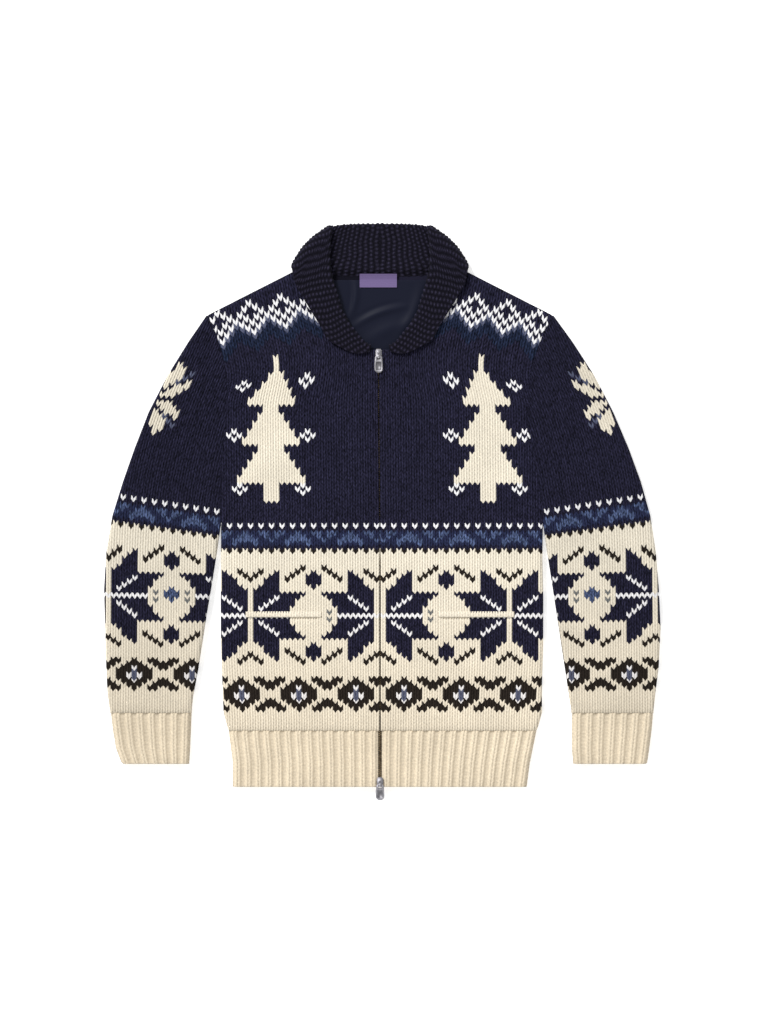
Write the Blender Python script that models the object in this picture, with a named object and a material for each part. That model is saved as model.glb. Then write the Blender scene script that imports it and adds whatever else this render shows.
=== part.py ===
"""Fair isle cardigan with a shawl collar and a two-way zip, laid flat on its back.

Every solid is a knitted wall at its real thickness, worked out from the sizes below.
Frame: origin under the back panel on the zip line, +X to the wearer's left,
+Y towards the collar, +Z up from the surface. Tables are in millimetres.
"""
import math
from typing import NamedTuple

import bpy
import numpy as np

MM = 0.001

# Cloth
KNIT = 4.5            # thickness of the chunky knit
COLLAR_KNIT = 4.2     # thickness of the collar's knit
SEAM_GAP = 0.3        # space between two pieces at a seam
BODY_HEIGHT = 12.0    # front over back, pressed flat
FOLD_LEVEL = BODY_HEIGHT / 2.0
FOLD_RADIUS = 6.5     # how far in from the outline the cloth rounds away
FOLD_BLUNT = 0.35     # starts the rounding just inside the outline
FOLD_INSETS = (6.5, 4.5, 2.0, 0.7, 0.0)

# Levels down the garment
HEM_END = -378.0
HEM_SEAM = -301.0
ARMPIT_Y = -20.0
SHOULDER_X = 237.0
SHOULDER_Y = 268.0
CUFF_SEAM = -277.0
CUFF_END = -346.5

# Ribs
HEM_RIBS = 14
CUFF_RIBS = 7
RIB_DEPTH = 1.5
RIB_PROFILE = ((0.0, 0.0), (0.3, 1.0), (0.7, 1.0))   # share across, share of depth

# Zip
ZIP_GAP_BODY = 1.2
ZIP_GAP_HEM = 2.4
ZIP_LEAN = 2.0        # the zip drifts this far to the wearer's right at the top
ZIP_TOP = 221.0
TAPE_WIDTH = 13.5
TAPE_THICKNESS = 1.0
TAPE_LEVEL = 6.1
SLIDER_LEVEL = BODY_HEIGHT + SEAM_GAP


class EdgeRow(NamedTuple):
    """One level of an outline: its height up the garment and the x on each side."""

    y: float
    right: float
    left: float


class NeckRow(NamedTuple):
    """One point of a neckline, the same on both sides."""

    x: float
    y: float


class CollarRow(NamedTuple):
    """One section of the collar, from its seam over the roll to its free edge.

    turn is the angle at which the layers stack: 90 the free edge on top, as on the
    fronts, 0 on its edge at the side of the neck, -90 underneath, as on the back.
    """

    turn: float
    seam_x: float
    seam_y: float
    roll_x: float
    roll_y: float
    edge_x: float
    edge_y: float
    lower: float
    seam_lower: float


class SleeveRow(NamedTuple):
    """One section across a sleeve: where it meets each edge, and its fullness."""

    outer_y: float
    inner_y: float
    bow: float
    height: float


class HeightRow(NamedTuple):
    """How high the front lies at one level."""

    y: float
    height: float


SIDE = (
    EdgeRow(HEM_END, 202.0, 201.0),
    EdgeRow(-348.0, 201.8, 205.0),
    EdgeRow(-320.0, 203.5, 209.5),
    EdgeRow(HEM_SEAM, 207.5, 214.5),
    EdgeRow(-284.0, 213.0, 220.5),
    EdgeRow(-240.0, 216.0, 222.0),
    EdgeRow(-130.0, 218.4, 224.0),
    EdgeRow(-75.0, 218.0, 222.6),
    EdgeRow(ARMPIT_Y, 217.8, 223.2),
)
ARMHOLE = (
    EdgeRow(ARMPIT_Y, 217.8, 223.2),
    EdgeRow(8.0, 218.3, 221.2),
    EdgeRow(45.0, 217.8, 217.3),
    EdgeRow(85.0, 215.0, 208.8),
    EdgeRow(125.0, 209.9, 201.9),
    EdgeRow(165.0, 208.6, 203.5),
    EdgeRow(205.0, 213.4, 210.0),
    EdgeRow(240.0, 223.5, 222.5),
    EdgeRow(SHOULDER_Y, SHOULDER_X, SHOULDER_X),
)
SLEEVE_OUTER = (
    EdgeRow(CUFF_SEAM, 369.0, 374.5),
    EdgeRow(-266.0, 371.3, 375.6),
    EdgeRow(-211.0, 375.4, 382.2),
    EdgeRow(-156.0, 376.8, 384.6),
    EdgeRow(-101.0, 378.1, 381.8),
    EdgeRow(-46.0, 374.0, 376.8),
    EdgeRow(8.0, 363.1, 367.2),
    EdgeRow(63.0, 343.9, 349.4),
    EdgeRow(118.0, 324.7, 327.4),
    EdgeRow(172.0, 298.7, 301.4),
    EdgeRow(227.0, 265.8, 267.2),
    EdgeRow(SHOULDER_Y, SHOULDER_X, SHOULDER_X),
)
SLEEVE_INNER = (
    EdgeRow(CUFF_SEAM, 258.2, 263.0),
    EdgeRow(-266.0, 257.6, 261.0),
    EdgeRow(-211.0, 248.0, 253.5),
    EdgeRow(-156.0, 239.8, 244.8),
    EdgeRow(-101.0, 230.6, 236.0),
    EdgeRow(-46.0, 222.0, 227.6),
    EdgeRow(ARMPIT_Y, 218.4, 223.8),
)
SLEEVE = (
    SleeveRow(SHOULDER_Y, ARMPIT_Y, 1.0, 12.0),
    SleeveRow(232.0, -24.0, 0.8, 12.0),
    SleeveRow(186.0, -29.0, 0.55, 12.5),
    SleeveRow(136.0, -35.0, 0.3, 12.5),
    SleeveRow(86.0, -43.0, 0.12, 12.0),
    SleeveRow(40.0, -54.0, 0.0, 12.5),
    SleeveRow(-6.0, -72.0, 0.0, 12.5),
    SleeveRow(-56.0, -100.0, 0.0, 12.0),
    SleeveRow(-108.0, -138.0, 0.0, 12.5),
    SleeveRow(-160.0, -178.0, 0.0, 12.0),
    SleeveRow(-212.0, -220.0, 0.0, 12.5),
    SleeveRow(-250.0, -254.0, 0.0, 13.0),
    SleeveRow(-268.0, -270.0, 0.0, 12.5),
    SleeveRow(CUFF_SEAM, CUFF_SEAM - 2.0, 0.0, 12.0),
)
CUFF_OUTER = (
    EdgeRow(CUFF_END, 354.0, 366.0),
    EdgeRow(-334.0, 360.8, 368.0),
    EdgeRow(-318.0, 362.6, 370.0),
    EdgeRow(-294.0, 367.2, 373.0),
    EdgeRow(CUFF_SEAM, 369.0, 374.3),
)
CUFF_INNER = (
    EdgeRow(CUFF_END, 261.7, 265.0),
    EdgeRow(-334.0, 260.5, 263.4),
    EdgeRow(-318.0, 260.3, 263.0),
    EdgeRow(-294.0, 259.0, 263.0),
    EdgeRow(CUFF_SEAM, 258.4, 263.2),
)
FRONT_NECK = (
    NeckRow(0.0, 221.0),
    NeckRow(13.0, 221.0),
    NeckRow(31.6, 223.5),
    NeckRow(51.1, 232.0),
    NeckRow(65.7, 244.0),
    NeckRow(75.6, 259.4),
    NeckRow(86.7, 280.0),
    NeckRow(100.3, 303.9),
    NeckRow(107.5, 318.0),
    NeckRow(113.0, 331.0),
)
BACK_NECK = (
    NeckRow(0.0, 319.0),
    NeckRow(45.0, 320.0),
    NeckRow(80.0, 323.0),
    NeckRow(103.0, 327.5),
    NeckRow(113.0, 331.0),
)
COLLAR = (
    CollarRow(90, 13.0, 222.6, 12.2, 226.0, 14.0, 217.5, -2.7, 0.0),
    CollarRow(90, 31.4, 224.4, 22.0, 233.6, 34.3, 215.8, -2.7, 0.0),
    CollarRow(90, 50.7, 232.5, 33.0, 246.6, 56.2, 225.4, -2.7, 0.0),
    CollarRow(90, 65.2, 244.4, 43.8, 261.7, 71.9, 235.6, -2.7, 0.0),
    CollarRow(90, 75.1, 259.8, 52.1, 278.1, 82.2, 254.1, -2.7, 0.0),
    CollarRow(90, 86.2, 280.4, 58.9, 301.4, 94.5, 274.0, -2.5, 0.0),
    CollarRow(90, 99.8, 304.4, 66.0, 327.4, 108.6, 297.3, -1.5, 0.0),
    CollarRow(90, 107.0, 318.6, 68.0, 354.0, 115.5, 312.0, 0.0, 0.0),
    CollarRow(90, 110.8, 329.5, 66.0, 380.0, 117.0, 324.0, 0.0, 0.0),
    CollarRow(60, 111.3, 332.2, 63.6, 384.5, 115.5, 328.6, 0.0, 0.0),
    CollarRow(30, 111.3, 332.6, 62.8, 386.0, 115.0, 329.2, 0.0, 0.0),
    CollarRow(0, 111.0, 332.9, 62.5, 386.6, 114.3, 330.4, 0.0, 0.0),
    CollarRow(-30, 110.6, 333.0, 62.3, 387.4, 112.5, 333.0, 0.0, 0.0),
    CollarRow(-60, 109.8, 333.0, 62.0, 388.8, 110.0, 336.0, 0.0, 0.6),
    CollarRow(-90, 102.6, 329.0, 61.0, 391.2, 104.5, 337.6, 0.0, 2.0),
    CollarRow(-90, 79.8, 324.7, 52.0, 392.8, 82.0, 334.9, 0.0, 4.4),
    CollarRow(-90, 45.0, 321.7, 34.0, 393.9, 45.0, 333.2, 0.0, 4.9),
    CollarRow(-90, 20.0, 321.0, 16.0, 394.2, 20.0, 332.7, 0.0, 4.9),
    CollarRow(-90, 0.0, 320.7, 0.0, 394.3, 0.0, 332.6, 0.0, 4.9),
)
COLLAR_LEVEL = 10.1       # height of the middle of the four stacked layers
STAND_RADIUS = 2.6        # half the distance from the front stand to the back stand
ROLL_RADIUS = 5.2
FALL_RADIUS = 7.8
NECK_SIDE = (0.77, 0.637)  # direction in plan that faces away from the side of the neck
COLLAR_STEPS = 1          # sections made between two rows of the table
STAND_SHARES = (0.0, 0.07, 0.16, 0.35, 0.6, 0.85)
FALL_SHARES = (0.12, 0.35, 0.6, 0.85, 1.0)
ROLL_ANGLES = (0, 45, 90, 135, 180)
FALL_BULGE = 6.0          # the fall rounds out at the side of the neck

FRONT_HEIGHT = (
    HeightRow(HEM_END, 12.0),
    HeightRow(HEM_SEAM, 12.0),
    HeightRow(-294.0, 13.0),
    HeightRow(-278.0, 13.0),
    HeightRow(-245.0, 12.2),
    HeightRow(-180.0, 12.0),
    HeightRow(340.0, 12.0),
)
LOWER_ROWS = (HEM_SEAM + SEAM_GAP, -293.0, -276.0, -240.0, -180.0, -120.0, -65.0)
SHOULDER_COLUMNS = (140.0, 170.0, 200.0)
HEM_ROWS = (HEM_END, -345.0, HEM_SEAM - SEAM_GAP)
CUFF_ROWS = (CUFF_SEAM - 2.0 * SEAM_GAP, -300.0, -325.0, CUFF_END)

WELT_INNER = 80.0
WELT_OUTER = 184.0
WELT_TOP = -137.5
WELT_HEIGHT = 8.0
WELT_THICKNESS = 1.6
LINING_HALF_WIDTH = 76.0
LINING_BOTTOM = 204.0
LINING_TOP = 316.5
LINING_THICKNESS = 1.0
LABEL_CENTRE_X = -2.4
LABEL_WIDTH = 51.0
LABEL_BOTTOM = 306.5
LABEL_TOP = 325.0
LABEL_THICKNESS = 0.9

PULL_LENGTH = 22.5
PULL_WIDTH = 12.0
PULL_NECK = 10.2
PULL_THICKNESS = 1.4
PULL_EYE_WIDTH = 4.4
PULL_EYE_LENGTH = 3.4
SLIDER_LENGTH = 13.0
SLIDER_WIDTH = 9.0
SLIDER_PLATE = 1.4
BAR_HEIGHT = 15.5         # height of each pull's axis
BRIDGE_WIDTH = 3.0
TOP_AXIS_Y = 211.5
TOP_PULL_SLOPE = 3.0
BOTTOM_AXIS_Y = -375.0
BOTTOM_PULL_SLOPE = 18.0


def material(name, colour, roughness, metallic=0.0):
    """Plain finish for one cloth or metal."""
    finish = bpy.data.materials.new(name)
    finish.use_nodes = True
    shader = finish.node_tree.nodes["Principled BSDF"]
    shader.inputs["Base Color"].default_value = (*colour, 1.0)
    shader.inputs["Roughness"].default_value = roughness
    shader.inputs["Metallic"].default_value = metallic
    return finish


def add_mesh(name, points, faces, finish, parent=None):
    """Make one named object from points in millimetres."""
    mesh = bpy.data.meshes.new(name)
    mesh.from_pydata([tuple(point) for point in np.asarray(points) * MM], [], faces)
    mesh.validate()
    mesh.update()
    mesh.shade_smooth()
    mesh.set_sharp_from_angle(angle=math.radians(40.0))
    mesh.materials.append(finish)
    piece = bpy.data.objects.new(name, mesh)
    bpy.context.scene.collection.objects.link(piece)
    if parent is not None:
        piece.parent = parent
    return piece


def column(rows, name):
    """One named column of a table as an array."""
    return np.array([getattr(row, name) for row in rows], dtype=float)


def smooth(rows, key, value, at):
    """Read a table between its rows along a smooth curve through them."""
    knots, values = column(rows, key), column(rows, value)
    slopes = np.gradient(values, knots)
    at = np.clip(np.asarray(at, dtype=float), knots[0], knots[-1])
    index = np.clip(np.searchsorted(knots, at) - 1, 0, len(knots) - 2)
    width = knots[index + 1] - knots[index]
    t = (at - knots[index]) / width
    start = (1 + 2 * t) * (1 - t) ** 2 * values[index] + t * (1 - t) ** 2 * width * slopes[index]
    end = t * t * (3 - 2 * t) * values[index + 1] + t * t * (t - 1) * width * slopes[index + 1]
    return start + end


def side_name(side):
    """The wearer's side: +X is the left."""
    return "left" if side > 0 else "right"


def body_edge(side, y):
    """Distance of the side seam or the armhole from the zip line at height y."""
    y = np.asarray(y, dtype=float)
    below = smooth(SIDE, "y", side_name(side), y)
    above = smooth(ARMHOLE, "y", side_name(side), y)
    return np.where(y < ARMPIT_Y, below, above)


def zip_line(y):
    """x of the zip's centre at height y."""
    return -ZIP_LEAN * np.clip(np.asarray(y, dtype=float) / ZIP_TOP, 0.0, 1.0)


def line_y(rows, x):
    """Height of a neckline at x."""
    return float(np.interp(x, column(rows, "x"), column(rows, "y")))


def top_y(neck, x):
    """Height of a panel's top edge at x: the neckline, then the shoulder."""
    neck_point = neck[-1]
    if x <= neck_point.x:
        return line_y(neck, x)
    share = (x - neck_point.x) / (SHOULDER_X - neck_point.x)
    return neck_point.y + share * (SHOULDER_Y - neck_point.y)


def fold_path(side):
    """The folded outline of the body: the side seam, then the shoulder."""
    levels = np.linspace(HEM_END, ARMPIT_Y, 30)
    flank = np.column_stack([side * body_edge(side, levels), levels])
    neck_point = FRONT_NECK[-1]
    shoulder = np.array([[side * SHOULDER_X, SHOULDER_Y], [side * neck_point.x, neck_point.y]])
    return flank, shoulder


def distance_to_path(path, x, y):
    """Shortest distance from each point to a line of straight stretches."""
    best = np.full(np.shape(x), np.inf)
    for start, end in zip(path[:-1], path[1:]):
        run = end - start
        share = ((x - start[0]) * run[0] + (y - start[1]) * run[1]) / (run @ run)
        share = np.clip(share, 0.0, 1.0)
        gap = np.hypot(x - start[0] - share * run[0], y - start[1] - share * run[1])
        best = np.minimum(best, gap)
    return best


def fold_distance(side, x, y):
    """Distance in from the nearest folded edge of the body."""
    return np.minimum(*(distance_to_path(path, x, y) for path in fold_path(side)))


def outer_rise(distance):
    """Share of the half height that the outside of a fold has reached."""
    share = np.clip((distance + FOLD_BLUNT) / FOLD_RADIUS, 0.0, 1.0)
    return np.sqrt(1.0 - (1.0 - share) ** 2)


def inner_rise(distance):
    """The same for the inside of the fold, which starts one wall further in."""
    share = np.clip((distance - KNIT) / (FOLD_RADIUS - KNIT), 0.0, 1.0)
    return np.sqrt(1.0 - (1.0 - share) ** 2)


def upper_wall(distance, height):
    """Top and bottom of a wall that lies over the fold level."""
    top = FOLD_LEVEL + outer_rise(distance) * (height - FOLD_LEVEL)
    inside = FOLD_LEVEL + SEAM_GAP / 2 + inner_rise(distance) * (
        height - KNIT - FOLD_LEVEL - SEAM_GAP / 2)
    return top, inside


def lower_wall(distance):
    """Top and bottom of the wall that rests on the surface."""
    bottom = FOLD_LEVEL * (1.0 - outer_rise(distance))
    inside = FOLD_LEVEL - SEAM_GAP / 2 - inner_rise(distance) * (
        FOLD_LEVEL - KNIT - SEAM_GAP / 2)
    return inside, bottom


def slab_faces(rows, columns, flip):
    """Faces of a closed slab of two grids, the top grid's points first."""
    count = rows * columns
    faces = []

    def quad(*corners):
        faces.append(corners[::-1] if flip else corners)

    for r in range(rows - 1):
        for c in range(columns - 1):
            a = r * columns + c
            quad(a, a + 1, a + columns + 1, a + columns)
            quad(count + a, count + a + columns, count + a + columns + 1, count + a + 1)
    for c in range(columns - 1):
        last = (rows - 1) * columns + c
        quad(c, count + c, count + c + 1, c + 1)
        quad(last, last + 1, count + last + 1, count + last)
    for r in range(rows - 1):
        first, last = r * columns, r * columns + columns - 1
        quad(first, first + columns, count + first + columns, count + first)
        quad(last, count + last, count + last + columns, last + columns)
    return faces


def add_slab(name, x, y, top, bottom, finish, flip=False):
    """A wall between two height fields over one grid of plan points."""
    upper = np.stack([x, y, top], axis=-1).reshape(-1, 3)
    lower = np.stack([x, y, bottom], axis=-1).reshape(-1, 3)
    faces = slab_faces(x.shape[0], x.shape[1], flip)
    return add_mesh(name, np.vstack([upper, lower]), faces, finish)


def panel_columns(neck):
    """Where a panel's columns reach its top edge, out to the rounded band."""
    return [row.x for row in neck] + list(SHOULDER_COLUMNS)


def panel_plan(side, neck, centre_gap):
    """Plan of a body panel from the zip line to the side, a row for each level.

    A column keeps its share of the width all the way up. Near the side and the
    shoulder the lines close up to follow the rounded fold.
    """
    band = FOLD_INSETS[0]
    armhole_levels = column(ARMHOLE, "y")[1:-1]
    shares = (armhole_levels - ARMPIT_Y) / (SHOULDER_Y - ARMPIT_Y)
    plan_x, plan_y = [], []
    tops = panel_columns(neck) + [SHOULDER_X - inset for inset in FOLD_INSETS]
    for index, x_top in enumerate(tops):
        inset = SHOULDER_X - x_top if index >= len(panel_columns(neck)) else None
        y_top = top_y(neck, x_top)
        ends = [y_top - 1.15 * step for step in FOLD_INSETS]
        climb = [ARMPIT_Y + share * (y_top - ARMPIT_Y) for share in shares]
        levels = np.array(list(LOWER_ROWS) + [ARMPIT_Y] + climb + ends)
        edge = body_edge(side, levels)
        start = centre_gap + side * zip_line(levels) if centre_gap else np.zeros_like(levels)
        if inset is None:
            top_start, top_edge = start[-1], body_edge(side, y_top)
            share = (x_top - top_start) / (top_edge - band - top_start)
            share = max(share, 0.0)
            x = start + share * (edge - band - start)
        else:
            x = edge - inset
        plan_x.append(side * x)
        plan_y.append(levels)
    return np.array(plan_x).T, np.array(plan_y).T


def front_height(y):
    """Height of the front's outside at each level."""
    return smooth(FRONT_HEIGHT, "y", "height", y)


def front_surface(side, x, y):
    """Height of the front panel's outside anywhere on it."""
    return upper_wall(fold_distance(side, x, y), front_height(y))[0]


def build_front(side, finish):
    """One front: knitted wall from the zip to the side, armhole and shoulder."""
    x, y = panel_plan(side, FRONT_NECK, ZIP_GAP_BODY)
    top, bottom = upper_wall(fold_distance(side, x, y), front_height(y))
    add_slab("front_" + side_name(side), x, y, top, bottom, finish, flip=side < 0)


def build_back(finish):
    """The back: one wall across both sides, flat where it rests."""
    halves = []
    for side in (-1, 1):
        x, y = panel_plan(side, BACK_NECK, 0.0)
        top, bottom = lower_wall(fold_distance(side, x, y))
        grid = np.stack([x, y, top, bottom])
        halves.append(grid[:, :, ::-1] if side < 0 else grid[:, :, 1:])
    x, y, top, bottom = np.concatenate(halves, axis=2)
    add_slab("back", x, y, top, bottom, finish)


def rib_columns(count):
    """Share across a band and share of the rib's depth at each column."""
    shares, depths = [], []
    for rib in range(count):
        for across, depth in RIB_PROFILE:
            shares.append((rib + across) / count)
            depths.append(depth)
    return shares + [1.0], depths + [0.0]


def build_hem_front(side, finish):
    """Ribbed hem of one front, the ribs raised in its outside."""
    shares, depths = rib_columns(HEM_RIBS)
    levels = np.array(HEM_ROWS)[:, None]
    edge = body_edge(side, levels)
    start = ZIP_GAP_HEM + side * zip_line(levels)
    band = FOLD_INSETS[0]
    x = start + np.array(shares)[None, :] * (edge - band - start)
    outer = edge - np.array(FOLD_INSETS[1:])[None, :]
    x = side * np.hstack([x, outer])
    y = np.broadcast_to(levels, x.shape)
    ribs = np.array(depths + [0.6, 0.6, 0.4, 0.2])[None, :]
    height = BODY_HEIGHT - RIB_DEPTH * (1.0 - ribs)
    distance = np.abs(edge - np.abs(x))
    top = FOLD_LEVEL + outer_rise(distance) * (height - FOLD_LEVEL)
    bottom = upper_wall(distance, BODY_HEIGHT)[1]
    add_slab("hem_front_" + side_name(side), x, y, top, bottom, finish, flip=side < 0)


def build_hem_back(finish):
    """Ribbed hem of the back, plain because it rests on its outside."""
    levels = np.array(HEM_ROWS)[:, None]
    halves = []
    for side in (-1, 1):
        edge = body_edge(side, levels)
        band = FOLD_INSETS[0]
        inner = np.linspace(0.0, 1.0, 6)[None, :] * (edge - band)
        x = np.hstack([inner, edge - np.array(FOLD_INSETS[1:])[None, :]])
        distance = edge - x
        top, bottom = lower_wall(distance)
        y = np.broadcast_to(levels, x.shape)
        grid = np.stack([side * x, y, top, bottom])
        halves.append(grid[:, :, ::-1] if side < 0 else grid[:, :, 1:])
    x, y, top, bottom = np.concatenate(halves, axis=2)
    add_slab("hem_back", x, y, top, bottom, finish)


def ring_shares(width, middle, ribs):
    """Points round half a flattened tube, from its outer fold to its inner one.

    Returns the distance along the width, the rise of the outside, how far in the
    inside starts, and the share of the rib's depth.
    """
    angles = np.radians([0.0, 25.0, 50.0, 72.0, 90.0])
    along = FOLD_RADIUS * (1.0 - np.cos(angles))
    inward = KNIT * np.cos(angles)
    rise = np.sin(angles)
    span = width - 2 * FOLD_RADIUS
    centre = FOLD_RADIUS + np.array(middle) * span
    full = np.ones(len(middle))
    distance = np.concatenate([along, centre, width - along[::-1]])
    inside = np.concatenate([along + inward, centre, width - (along + inward)[::-1]])
    rises = np.concatenate([rise, full, rise[::-1]])
    ends = np.full(len(angles), 0.5)
    return distance, inside, rises, np.concatenate([ends, ribs, ends])


def tube_rings(place, width, height, middle, ribs, bottom_middle):
    """Outer and inner ring of points at one section of a flattened tube."""
    distance, inside, rise, depth = ring_shares(width, middle, ribs)
    rib_cut = RIB_DEPTH * (1.0 - depth) if len(set(ribs)) > 1 else 0.0
    outer_top = FOLD_LEVEL + rise * (height - rib_cut - FOLD_LEVEL)
    inner_top = FOLD_LEVEL + rise * (height - KNIT - FOLD_LEVEL)
    low_distance, low_inside, low_rise, _ = ring_shares(
        width, bottom_middle, np.ones(len(bottom_middle)))
    outer_low = FOLD_LEVEL * (1.0 - low_rise)
    inner_low = FOLD_LEVEL - low_rise * (FOLD_LEVEL - KNIT)
    rings = []
    for upper, upper_z, lower, lower_z in (
            (distance, outer_top, low_distance, outer_low),
            (inside, inner_top, low_inside, inner_low)):
        along = np.concatenate([upper, lower[-2:0:-1]])
        z = np.concatenate([upper_z, lower_z[-2:0:-1]])
        rings.append(np.column_stack([*place(along / width), z]))
    return rings


def add_tube(name, sections, finish, flip):
    """A closed wall from matching outer and inner rings, open at both ends."""
    count = len(sections[0][0])
    points = np.vstack([ring for section in sections for ring in section])
    faces = []

    def quad(*corners):
        faces.append(corners[::-1] if flip else corners)

    for s in range(len(sections) - 1):
        outer, inner = 2 * s * count, (2 * s + 1) * count
        step = 2 * count
        for k in range(count):
            n = (k + 1) % count
            quad(outer + k, outer + n, outer + step + n, outer + step + k)
            quad(inner + k, inner + step + k, inner + step + n, inner + n)
    last = 2 * (len(sections) - 1) * count
    for k in range(count):
        n = (k + 1) % count
        quad(k, count + k, count + n, n)
        quad(last + k, last + n, last + count + n, last + count + k)
    return add_mesh(name, points, faces, finish)


def sleeve_place(side, row):
    """A function from share across a sleeve to its place in plan."""
    name = side_name(side)
    outer = np.array([float(smooth(SLEEVE_OUTER, "y", name, row.outer_y)), row.outer_y])
    inner = np.array([float(smooth(SLEEVE_INNER, "y", name, row.inner_y)), row.inner_y])
    gap = 2.0 * SEAM_GAP if row.bow == 1.0 else 0.0
    armpit_x = getattr(ARMHOLE[0], name)

    def place(share):
        share = np.clip(share, 0.0, 1.0)
        seam_y = SHOULDER_Y + share * (ARMPIT_Y - SHOULDER_Y)
        seam_x = smooth(ARMHOLE, "y", name, seam_y)
        chord_x = SHOULDER_X + share * (armpit_x - SHOULDER_X)
        x = outer[0] + share * (inner[0] - outer[0]) + row.bow * (seam_x - chord_x) + gap
        y = outer[1] + share * (inner[1] - outer[1])
        return side * x, y

    return place, float(np.hypot(*(outer - inner)))


def build_sleeve(side, finish):
    """One sleeve: a flattened tube from the armhole to the cuff."""
    levels = column(ARMHOLE, "y")[1:-1][::-1]
    middle = (SHOULDER_Y - levels) / (SHOULDER_Y - ARMPIT_Y)
    sections = []
    for row in SLEEVE:
        place, width = sleeve_place(side, row)
        shares = np.clip((middle * width - FOLD_RADIUS) / (width - 2 * FOLD_RADIUS), 0.02, 0.98)
        sections.append(tube_rings(
            place, width, row.height, shares, np.ones(len(shares)), shares))
    add_tube("sleeve_" + side_name(side), sections, finish, flip=side < 0)


def build_cuff(side, finish):
    """One cuff: a flattened tube with ribs raised in its upper side."""
    name = side_name(side)
    shares, depths = rib_columns(CUFF_RIBS)
    sections = []
    for level in CUFF_ROWS:
        outer_x = float(smooth(CUFF_OUTER, "y", name, level))
        inner_x = float(smooth(CUFF_INNER, "y", name, level))

        def place(share, level=level, outer_x=outer_x, inner_x=inner_x):
            x = outer_x + share * (inner_x - outer_x)
            return side * x, np.full_like(x, level - 2.0 * share)

        sections.append(tube_rings(
            place, outer_x - inner_x, BODY_HEIGHT, shares[1:-1], depths[1:-1],
            np.linspace(0.1, 0.9, 6)))
    add_tube("cuff_" + name, sections, finish, flip=side < 0)


def collar_sections():
    """The collar's table with sections added between its rows, for both sides."""
    names = CollarRow._fields
    knots = np.arange(len(COLLAR), dtype=float)
    at = np.linspace(0.0, len(COLLAR) - 1.0, (len(COLLAR) - 1) * COLLAR_STEPS + 1)
    values = {}
    for name in names:
        source = column(COLLAR, name)
        if name in ("roll_x", "roll_y", "edge_x", "edge_y"):
            rows = [NeckRow(x, y) for x, y in zip(knots, source)]
            values[name] = smooth(rows, "x", "y", at)
        else:
            values[name] = np.interp(at, knots, source)
    half = [CollarRow(*(values[name][i] for name in names)) for i in range(len(at))]
    return [(-1, row) for row in half] + [(1, row) for row in half[-2::-1]]


def collar_path(side, row):
    """Middle line of the collar's cloth in one section, seam to free edge.

    Each point comes with the direction that faces out of the rolled cloth there.
    """
    turn = math.radians(row.turn)
    stack = np.array([side * NECK_SIDE[0] * math.cos(turn), NECK_SIDE[1] * math.cos(turn),
                      math.sin(turn)])
    seam = np.array([side * row.seam_x, row.seam_y, COLLAR_LEVEL + row.lower])
    edge = np.array([side * row.edge_x, row.edge_y, COLLAR_LEVEL + row.lower])
    roll = np.array([side * row.roll_x, row.roll_y, COLLAR_LEVEL + row.lower])
    ahead = roll - edge
    ahead /= np.linalg.norm(ahead)
    seam = seam + STAND_RADIUS * stack - np.array([0.0, 0.0, row.seam_lower])
    roll_in = roll + STAND_RADIUS * stack
    roll_out = roll + FALL_RADIUS * stack
    edge = edge + FALL_RADIUS * stack
    back = min(ROLL_RADIUS - STAND_RADIUS + COLLAR_KNIT / 2,
               0.35 * np.linalg.norm((roll_out - edge)[:2]))
    roll_in, roll_out = roll_in - back * ahead, roll_out - back * ahead
    points, outward = [], []
    for share in STAND_SHARES:
        level = min(1.0, share / STAND_SHARES[2])
        level = level * level * (3 - 2 * level)
        point = seam + share * (roll_in - seam)
        point[2] = seam[2] + level * (roll_in[2] - seam[2])
        points.append(point)
        outward.append(-stack)
    centre = (roll_in + roll_out) / 2
    radius = (roll_out - roll_in) / 2
    reach = np.linalg.norm(radius)
    for angle in ROLL_ANGLES:
        swing = math.radians(angle)
        swung = reach * ahead * math.sin(swing) - radius * math.cos(swing)
        points.append(centre + swung)
        outward.append(swung / reach)
    bulge = FALL_BULGE * math.cos(turn) ** 2
    for share in FALL_SHARES:
        point = roll_out + share * (edge - roll_out)
        points.append(point + stack * bulge * math.sin(math.pi * share))
        outward.append(stack)
    return np.array(points), np.array(outward)


def build_collar(finish):
    """Shawl collar: stand, roll and fall in one wall round the neck."""
    paths = [collar_path(side, row) for side, row in collar_sections()]
    middle = np.array([points for points, _ in paths])
    outward = np.array([directions for _, directions in paths])
    half = COLLAR_KNIT / 2
    outside, inside = middle + half * outward, middle - half * outward
    rows, columns = middle.shape[:2]
    points = np.vstack([outside.reshape(-1, 3), inside.reshape(-1, 3)])
    add_mesh("collar", points, slab_faces(rows, columns, flip=True), finish)


def build_tape(side, finish):
    """Zip tape under one front's edge."""
    levels = np.array([HEM_END + 1.0, -300.0, -150.0, 0.0, 110.0, ZIP_TOP - 0.5])[:, None]
    offsets = np.array([0.6, 0.6 + TAPE_WIDTH])[None, :]
    x = side * offsets + zip_line(levels)
    y = np.broadcast_to(levels, x.shape)
    top = np.full(x.shape, TAPE_LEVEL + TAPE_THICKNESS)
    bottom = np.full(x.shape, TAPE_LEVEL)
    add_slab("zip_tape_" + side_name(side), x, y, top, bottom, finish, flip=side < 0)


def build_welt(side, finish):
    """Knitted band over the slit of one pocket, on the front's outside."""
    x = np.linspace(WELT_INNER, WELT_OUTER, 8)[None, :] * side
    y = np.linspace(WELT_TOP - WELT_HEIGHT, WELT_TOP, 3)[:, None]
    x, y = np.broadcast_arrays(x, y)
    base = front_surface(side, x, y) + SEAM_GAP
    add_slab("pocket_welt_" + side_name(side), x, y, base + WELT_THICKNESS, base, finish,
             flip=side < 0)


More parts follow.
